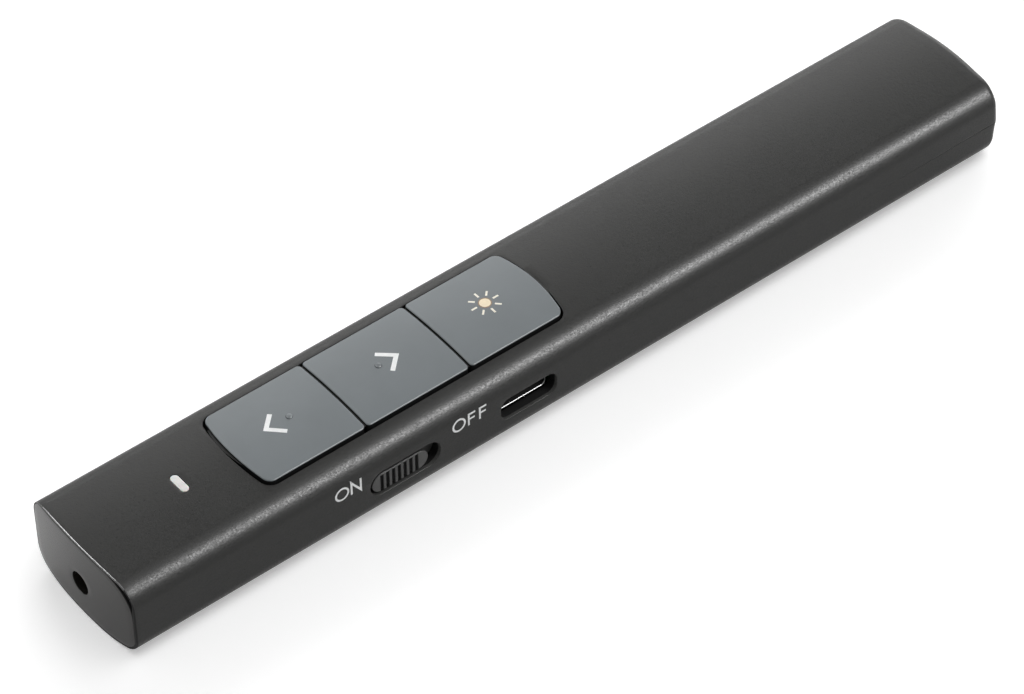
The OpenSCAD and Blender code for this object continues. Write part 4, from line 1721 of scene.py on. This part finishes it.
@dataclass
class NoseCap:
    """The bowed end plate with the beam hole and its spigot.

    Its upper -Y corner is rounder than the recess, which leaves a gap there; the plate's sides in that gap
    wear near-black painted shade.

    Attributes:
        form: The outer form.
        gap: Gap between the plate and the rim around it.
        beam_z: Height of the beam hole.
        beam_r: Radius of the beam hole.
        edge: Radius of the plate's edge.
        back_edge: Bevel of its edge behind.
        hole_edge: Radius of the hole's edge.
        fit: Gap between the spigot and the wall.
        spigot: Length of the spigot.
        barrel_r: Radius of the bore for the laser's barrel.
        barrel_back: Depth at which that bore starts.
        plate_rings: Places of the rings between the plate's edge and the hole.
    """

    form: BarForm
    gap: float = 0.035
    beam_z: float = 5.1
    beam_r: float = 1.55
    edge: float = 0.08
    back_edge: float = 0.06
    hole_edge: float = 0.05
    fit: float = 0.1
    spigot: float = 2.6
    barrel_r: float = 3.05
    barrel_back: float = 1.6
    plate_rings: tuple[float, ...] = (0.12, 0.3, 0.5, 0.7, 0.88)

    def _face(self, inset: float, depth: float) -> Ring:
        """The plate's outline pulled in, at a depth behind the bowed face.

        Args:
            inset: How far the outline is pulled in.
            depth: Depth behind the face.

        Returns:
            The ring.
        """
        form, rim = self.form, self.form.cap_rim + self.gap
        round_form = replace(form, top_corner=form.cap_corner + rim)
        insets = (rim + inset, rim + inset - form.cap_rim)
        own, wide = (form.outline(i) for i in insets)
        ring: Ring = []
        for a, b, c, d in zip(own, wide, round_form.outline(insets[0]), form.outline(0.0)):
            share = form.rim_cut(d[0]) if inset < form.cap_rim else 0.0
            y, z = c if c[0] < 0 else between(a, b, share)
            ring.append((form.front_x(y, depth), y, z))
        return ring

    def _circle(self, r: float, depth: float = 0.0, x: Optional[float] = None) -> Ring:
        """A circle round the beam at a depth behind the face, or at an X.

        Args:
            r: Radius.
            depth: Depth behind the face.
            x: Place along the bar, or None to follow the face.

        Returns:
            The ring, with as many points as the outline.
        """
        ring: Ring = []
        for y, z in self.form.outline(0.0):
            y, z = polar(0.0, self.beam_z, r, math.atan2(z - self.beam_z, y))
            ring.append((self.form.front_x(y, depth) if x is None else x, y, z))
        return ring

    def build(self) -> None:
        """Builds the cap and hangs it on the housing."""
        form, wall = self.form, self.form.wall + self.fit
        back = form.nose + self.spigot + form.cap
        stop = form.nose + self.barrel_back
        insets = (wall - form.cap_rim - self.gap, self.back_edge, 0.0, 0.0)
        depths = (form.cap, form.cap, form.cap - self.back_edge, self.edge)
        sides = [self._face(*place) for place in zip(insets, depths)]
        rings = [self._face(*place) for place in round_edge(self.edge, 5)[1:]]
        hole = self._circle(self.beam_r + self.hole_edge)
        for t in self.plate_rings:
            ring = [between(p[1:], q[1:], t) for p, q in zip(rings[4], hole)]
            rings.append([(form.front_x(y), y, z) for y, z in ring])
        rings += [self._circle(self.beam_r + out, depth) for depth, out in round_edge(self.hole_edge, 5)]
        for r, x in ((self.beam_r, stop), (self.barrel_r, stop), (self.barrel_r, back)):
            rings.append(self._circle(r, x=x))
        rings.append([(back, y, z) for y, z in form.outline(wall)])
        skin = Skin()
        made = skin.strip((1, sides), (0, rings))
        skin.bridge(made[-1], made[0])
        # The plate's sides, in the gap round it, get the near-black painted shade.
        painted_shade = bpy.data.materials["bare_black"]
        piece = skin.finish("nose_plate", CAP_SATIN.material("cap_satin"), painted_shade, sharp=SHELL_SHARP)
        dress(piece, Body.HOUSING, "cap", "nose_cap")


# ---------------------------------------------------------------- side wall


@dataclass
class PowerSlide:
    """The ribbed knob of the power switch, its slot and the two words beside it.

    Attributes hold the sizes of the slot, the knob, its plate and its grooves, then those of
    the letters: heights of foot and head, middle and half size of a word's round letter, the
    two sides of the N, the starts of both F, their width, and the height and length of their
    middle stroke as shares of the letter.
    """

    form: BarForm
    slot_x: float = -28.7
    slot_z: float = 5.8
    slot_l: float = 10.5
    slot_h: float = 3.8
    slot_edge: float = 0.06
    # Depth of the slot wall's lighter grey band of painted light.
    slot_painted_light: float = 0.45
    knob_x: float = -29.45
    knob_l: float = 8.3
    knob_h: float = 2.85
    recess: float = 0.1
    edge: float = 0.05
    plate_y: float = -8.5
    plate_t: float = 0.7
    plate: Flat = (13.0, 4.8)
    plate_corner: float = 0.4
    grooves: int = 7
    pitch: float = 0.86
    groove: float = 0.4
    groove_rim: float = 0.07
    groove_foot: float = 0.1
    groove_shift: float = -0.12
    deep: float = 0.45
    over: float = 0.3
    grip_z: Flat = (3.9, 7.0)
    grip_end: Flat = (0.12, 0.55)
    stroke: float = 0.27
    on_levels: Flat = (6.8, 8.73)
    off_levels: Flat = (6.93, 8.87)
    on_round: Point = (-38.06, 0.9, 0.9)
    off_round: Point = (-20.64, 0.88, 0.9)
    n_sides: Flat = (-36.68, -35.32)
    f_starts: Flat = (-19.3, -17.62)
    f_wide: float = 1.12
    f_middle: Flat = (0.52, 0.92)

    def obround(self, length: float, height: float, grow: float, arc: int = 20) -> list[Flat]:
        """An outline with two round ends, around its own middle.

        Args:
            length: Length along X.
            height: Height.
            grow: How far the outline is pushed out.
            arc: Segments of a round end.

        Returns:
            The outline.
        """
        r, run, side = height / 2 + grow, (length - height) / 2, 16
        ring: list[Flat] = []
        for sign, turn in ((1, -90.0), (-1, 90.0)):
            ring += [polar(sign * run, 0.0, r, math.radians(turn + 180 * t)) for t in steps(arc)]
            ring += [(mix(sign * run, -sign * run, k / side), sign * r) for k in range(1, side)]
        return ring

    def slot(self) -> Opening:
        """The cutter of the slot.

        Returns:
            The cutter.
        """
        return Opening(
            "switch_slot", lambda grow: self.obround(self.slot_l, self.slot_h, grow),
            self.form.in_wall(self.slot_x, self.slot_z), self.slot_edge, self.slot_painted_light,
        )

    def knob(self) -> Piece:
        """The knob's body: a rounded face with a sunk grip area, and the plate behind the wall.

        Returns:
            The piece, without its grooves.
        """
        face = -self.form.half + self.recess
        length, height = self.plate
        box = round_rect(-length / 2, length / 2, height / 2, (self.plate_corner,) * 2, 10, 16, 10)
        own = self.obround(self.knob_l, self.knob_h, 0.0, 10)
        box = self._matched(box, own)
        levels = [(box, self.plate_y + self.plate_t), (box, self.plate_y), (own, self.plate_y)]
        for pull, depth in round_edge(self.edge, 7):
            levels.append((self.obround(self.knob_l, self.knob_h, -pull, 10), face + depth))
        inner = self.obround(self.knob_l, self.knob_h, -self.edge, 10)
        levels += [([(x * t, z * t) for x, z in inner], face) for t in (0.8, 0.6, 0.4, 0.2, 0.0)]
        skin = Skin()
        rings = [[(x + self.knob_x, y, z + self.slot_z) for x, z in ring] for ring, y in levels]
        skin.strip((0, rings), foot=True)
        return skin.finish("slider_knob", KNOB_PLASTIC.material("knob_plastic"))

    @staticmethod
    def _matched(box: list[Flat], own: list[Flat]) -> list[Flat]:
        """Points on a box in the directions of an outline's points.

        Args:
            box: Outline of the box.
            own: The other outline.

        Returns:
            As many points as the other outline has.
        """
        half_x, half_z = max(p[0] for p in box), max(p[1] for p in box)
        scales = [min(half_x / max(abs(x), 1e-6), half_z / max(abs(z), 1e-6)) for x, z in own]
        return [(x * scale, z * scale) for (x, z), scale in zip(own, scales)]

    def grooves_tool(self) -> Piece:
        """The cutter of the grooves: one groove repeated along the knob, whose faces leave a darker painted
        shade in the grooves.

        Returns:
            The cutter.
        """
        face = -self.form.half + self.recess
        low, high = self.grip_z
        half, rim, foot = self.groove / 2, self.groove_rim, self.groove_foot
        profile = [(-half - rim - self.over, -self.over), (-half - rim, 0.0), (-half, rim)]
        profile += [(-half, self.deep - foot), (-half + foot, self.deep)]
        profile += [(-x, d) for x, d in reversed(profile)]
        end, shallow = self.grip_end
        groove = Skin()
        levels = ((low, 1.0), (high - end, 1.0), (high, shallow))
        groove.rod([[(x, face + d * (t if d > 0 else 1.0), z) for x, d in profile] for z, t in levels])
        recipe = NodeRecipe("groove_row", groove.finish("groove_pattern"))
        first = self.knob_x + self.groove_shift - (self.grooves - 1) / 2 * self.pitch
        recipe.ask("Count", "NodeSocketInt", self.grooves)
        recipe.ask("Start", "NodeSocketVector", (first * MM, 0.0, 0.0))
        recipe.ask("Pitch", "NodeSocketVector", (self.pitch * MM, 0.0, 0.0))
        names = (("Count", "Count"), ("Start Location", "Start"), ("Offset", "Pitch"))
        feeds = {socket: recipe.given(name) for socket, name in names}
        line = recipe.add("GeometryNodeMeshLine", feeds, mode="OFFSET")
        return recipe.build("groove_row", line.outputs["Mesh"], GROOVE_PAINTED_SHADE.material("groove_dark"))

    def _letter_f(self, x: float) -> list[list[Flat]]:
        """The three strokes of an F.

        Args:
            x: Its left side.

        Returns:
            The strokes as paths in X and Z.
        """
        low, high = self.off_levels
        rise, length = self.f_middle
        half, middle = self.stroke / 2, mix(low, high, rise)
        return [
            [(x + half, low), (x + half, high)],
            [(x + 2 * half, high - half), (x + self.f_wide, high - half)],
            [(x + 2 * half, middle), (x + self.f_wide * length, middle)],
        ]

    @staticmethod
    def _round_letter(size: Point, levels: Flat) -> list[Flat]:
        """The closed path of an O from its X and half sizes, midway between two heights."""
        return oval(size[0], sum(levels) / 2, size[1], size[2])

    def words(self) -> list[tuple[str, list[Flat], list[list[Flat]]]]:
        """Name, closed round letter and open strokes of the two words, in X and Z.

        Returns:
            A row for each word.
        """
        letter_n = [(x, z) for x in self.n_sides for z in self.on_levels]
        two_f = [stroke for x in self.f_starts for stroke in self._letter_f(x)]
        return [
            ("word_on", self._round_letter(self.on_round, self.on_levels), [letter_n]),
            ("word_off", self._round_letter(self.off_round, self.off_levels), two_f),
        ]

    def build(self) -> None:
        """Builds the knob with its grooves, and the two words."""
        knob = self.knob()
        combine(knob, [self.grooves_tool()], "DIFFERENCE")
        dress(knob, Body.POWER_SLIDER, "shell", "switch_knob")
        white = WHITE_INK.material("wall_white")
        for name, letter, strokes in self.words():
            shapes = [ribbon(letter, self.stroke, 1, True)] + [ribbon(p, self.stroke) for p in strokes]
            dress(ink_relief(name, shapes, self.form.on_wall, white), Body.HOUSING, "shell")


@dataclass
class ChargingSocket:
    """The opening for the charging plug and the metal shell behind it.

    Attributes:
        form: The outer form.
        x: Middle along the bar.
        z: Height of the middle.
        opening: Length, height and corner radius of the opening.
        edge: Radius of the opening's edge.
        painted_light: Depth of the lighter grey band of painted light on the opening's wall.
        mouth: Length, height and corner radius of the metal shell.
        front: Y of its mouth.
        back: Y of its closed end.
        sheet: Thickness of the sheet.
    """

    form: BarForm
    x: float = -9.95
    z: float = 5.8
    opening: Point = (8.6, 3.4, 1.3)
    edge: float = 0.05
    painted_light: float = 0.42
    mouth: Point = (7.4, 2.6, 0.7)
    front: float = -8.68
    back: float = -3.5
    sheet: float = 0.2

    @staticmethod
    def outline(size: Point, grow: float) -> list[Flat]:
        """A rounded rectangle of the given length, height and corner radius, pushed out."""
        half, r = size[0] / 2 + grow, size[2] + grow
        return round_rect(-half, half, size[1] / 2 + grow, (r, r), 10, 16, 4)

    def slot(self) -> Opening:
        """The cutter of the opening.

        Returns:
            The cutter.
        """
        return Opening(
            "socket_slot", lambda grow: self.outline(self.opening, grow),
            self.form.in_wall(self.x, self.z), self.edge, self.painted_light,
        )

    def build(self) -> None:
        """Builds the metal shell with its rounded lip."""
        lip = [(pull, self.front + depth) for pull, depth in round_edge(self.sheet / 2, 10, 180.0)]
        rings = []
        for pull, y in [(0.0, self.back), *lip, (self.sheet, self.back - self.sheet)]:
            rings.append([(self.x + x, y, self.z + z) for x, z in self.outline(self.mouth, -pull)])
        skin = Skin()
        # The inside of the metal shell gets the near-black painted shade.
        skin.lid(skin.strip((0, rings[:-1]), (1, rings[-1:]), foot=True)[-1])
        metal, painted_shade = BRIGHT_SHELL.material("socket_metal"), bpy.data.materials["bare_black"]
        dress(skin.finish("socket_mouth", metal, painted_shade), Body.HOUSING, "steel", "usb_shell")


@dataclass
class IndicatorWindow:
    """The white light pipe behind the nose and its hole in the top.

    Attributes:
        form: The outer form.
        x: Middle along the bar.
        length: Length across the bar.
        width: Width along the bar.
        gap: Gap between the window and its hole.
        edge: Radius of the window's edge.
        hole_edge: Radius of the hole's edge.
        hole_out: Reach of the hole's cutter over the top.
        low: Height of its lower end.
        shoulder: Lower and upper height of its shoulder, and how far that stands out.
    """

    form: BarForm
    x: float = -53.85
    length: float = 3.15
    width: float = 1.2
    gap: float = 0.05
    edge: float = 0.1
    hole_edge: float = 0.06
    hole_out: float = 0.5
    low: float = 5.1
    shoulder: Point = (9.9, 10.5, 0.5)

    def outline(self, grow: float) -> list[Flat]:
        """The window's outline with its long side across the bar.

        Args:
            grow: How far the outline is pushed out.

        Returns:
            The outline.
        """
        r, run = self.width / 2 + grow, (self.length - self.width) / 2
        ring: list[Flat] = []
        for sign, turn in ((1, 0.0), (-1, 180.0)):
            ring += [polar(self.x, sign * run, r, math.radians(turn + 180 * t)) for t in steps(12)]
        return ring

    def hole(self) -> Opening:
        """The cutter of the hole."""
        under = self.form.under_top
        return Opening("window_hole", self.outline, under, self.hole_edge, out=self.hole_out, shared=False)

    def build(self) -> None:
        """Builds the window and hangs it on the housing."""
        low, high, out = self.shoulder
        levels = ((-self.gap, self.low), (-self.gap, low), (out, low), (out, high), (-self.gap, high))
        rings = [level(self.outline(grow), z) for grow, z in levels]
        for pull, depth in round_edge(self.edge, 5):
            rings.append([self.form.under_top(p, depth) for p in self.outline(-self.gap - pull)])
        last = self.outline(-self.gap - self.edge)
        for t in (0.6, 0.3, 0.0):
            rings.append([self.form.under_top((mix(self.x, x, t), y), 0.0) for x, y in last])
        skin = Skin()
        skin.strip((0, rings), foot=True)
        piece = skin.finish("light_window", WINDOW_MILKY.material("window_milky"))
        dress(piece, Body.HOUSING, "window", "indicator_lens")


# ---------------------------------------------------------------- studio


@dataclass
class Studio:
    """Floor, plain soft lights and the camera.

    Attributes:
        floor_half: Half the floor's size.
        floor_z: Height of the floor.
        floor_lift: Glow of the floor, for rays that show it.
        floor_colours: Lowest and highest grey of the floor.
        ambient: Strength of the even light.
        lamp_far: Distance of the lamps.
        camera_at: Place of the camera.
        camera_axes: Its right, up and back.
        focal: Focal length.
        sensor: Width of its sensor.
    """

    floor_half: float = 3000.0
    floor_z: float = -0.02
    floor_lift: float = 0.34
    floor_colours: Flat = (0.885, 0.9)
    ambient: float = 0.45
    lamp_far: float = 900.0
    camera_at: Point = (-224.6217, -278.4963, 363.9234)
    camera_axes: tuple[Point, Point, Point] = (
        (0.77948918, -0.62636537, -0.00794068),
        (0.45104001, 0.55241624, 0.70099872),
        (-0.43469476, -0.55000248, 0.71311832),
    )
    focal: float = 145.11
    sensor: float = 36.0

    def build_floor(self) -> None:
        """A plain pale floor that is white where it isn't in shadow."""
        skin, h, z = Skin(), self.floor_half, self.floor_z
        skin.lid(skin.ring([(-h, -h, z), (h, -h, z), (h, h, z), (-h, h, z)]))
        sheet = Sheet("floor_white")
        shader = sheet.shader
        sheet.fixed(Roughness=0.9, Specular_IOR_Level=0.1)
        grey = sheet.blend(sheet.noise(120.0, 2), *((g, g, g) for g in self.floor_colours))
        sheet.tree.links.new(grey, shader.inputs["Base Color"])
        power = sheet.add("ShaderNodeMath", {0: sheet.seen(), 1: self.floor_lift}, operation="MULTIPLY")
        glow = sheet.add("ShaderNodeEmission", {"Strength": power.outputs["Value"]})
        both = sheet.add("ShaderNodeAddShader", {0: shader.outputs["BSDF"], 1: glow.outputs["Emission"]})
        sheet.tree.links.new(both.outputs["Shader"], sheet.output.inputs["Surface"])
        skin.finish("floor", sheet.material)

    def build_world(self) -> None:
        """Even light from all around, and white behind the bar."""
        world = bpy.data.worlds.new("studio")
        world.use_nodes = True
        graph = Graph(world.node_tree)
        lights = [graph.add("ShaderNodeBackground", {"Strength": s}) for s in (self.ambient, 1.0)]
        plain, white = (light.outputs["Background"] for light in lights)
        both = graph.add("ShaderNodeMixShader", {"Fac": graph.seen(), 1: plain, 2: white})
        graph.add("ShaderNodeOutputWorld", {"Surface": both.outputs["Shader"]})
        bpy.context.scene.world = world

    def lamp(self, name: str, way: Point, size: Flat, power: float, gloss_only: bool = False) -> None:
        """A soft box that looks at the middle of the bar.

        Args:
            name: Name of the lamp.
            way: Direction from the bar to the lamp.
            size: Length and height of the box.
            power: Watts.
            gloss_only: Whether it shows in glossy surfaces alone, as a reflecting card does.
        """
        data = bpy.data.lights.new(name, "AREA")
        data.shape = "RECTANGLE"
        data.size, data.size_y = size[0] * MM, size[1] * MM
        data.energy = power
        made = placed(name, data)
        made.visible_diffuse = not gloss_only
        away = Vector(way).normalized()
        up = away.cross(Vector((1.0, 0.0, 0.0))).normalized()
        turn = Matrix((up.cross(away), up, away)).transposed()
        made.matrix_world = Matrix.Translation(away * self.lamp_far * MM) @ turn.to_4x4()

    def build_lamps(self) -> None:
        """The broad boxes in front and behind, and the cards that rounded edges shine from."""
        self.lamp("front_box", (0.1, -0.2, 0.97), (1000.0, 500.0), 3.6)
        self.lamp("glint_card", (0.48, -0.71, 0.57), (560.0, 340.0), 35.0, gloss_only=True)
        self.lamp("nose_card", (-0.4, 0.55, 0.73), (240.0, 560.0), 11.0, gloss_only=True)
        self.lamp("back_box", (0.85, 0.86, 0.48), (1000.0, 500.0), 6.4)

    def build_camera(self) -> None:
        """The camera, at the place that shows the bar as it lies."""
        data = bpy.data.cameras.new("camera")
        data.sensor_fit = "HORIZONTAL"
        data.sensor_width, data.lens = self.sensor, self.focal
        data.clip_start, data.clip_end = 0.01, 20.0
        camera = placed("camera", data)
        turn = Matrix(self.camera_axes).transposed()
        camera.matrix_world = Matrix.Translation(Vector(self.camera_at) * MM) @ turn.to_4x4()
        bpy.context.scene.camera = camera

    def build(self) -> None:
        """Builds the whole stage."""
        self.build_camera()
        self.build_floor()
        self.build_world()
        self.build_lamps()


# ---------------------------------------------------------------- assembly


def main() -> None:
    """Builds the stage, the bar and its finishes."""
    logging.basicConfig(level=logging.INFO, format="%(name)s: %(message)s")
    bpy.context.scene.view_settings.view_transform = "Standard"
    Studio().build()
    form = BarForm()
    keys, slide, socket, window = KeyRow(form), PowerSlide(form), ChargingSocket(form), IndicatorWindow(form)
    HousingShells(form).build([keys.pocket(), slide.slot(), socket.slot(), window.hole()])
    for assembly in (NoseCap(form), keys, slide, socket, window, InnerWorks()):
        assembly.build()


if __name__ == "__main__":
    main()
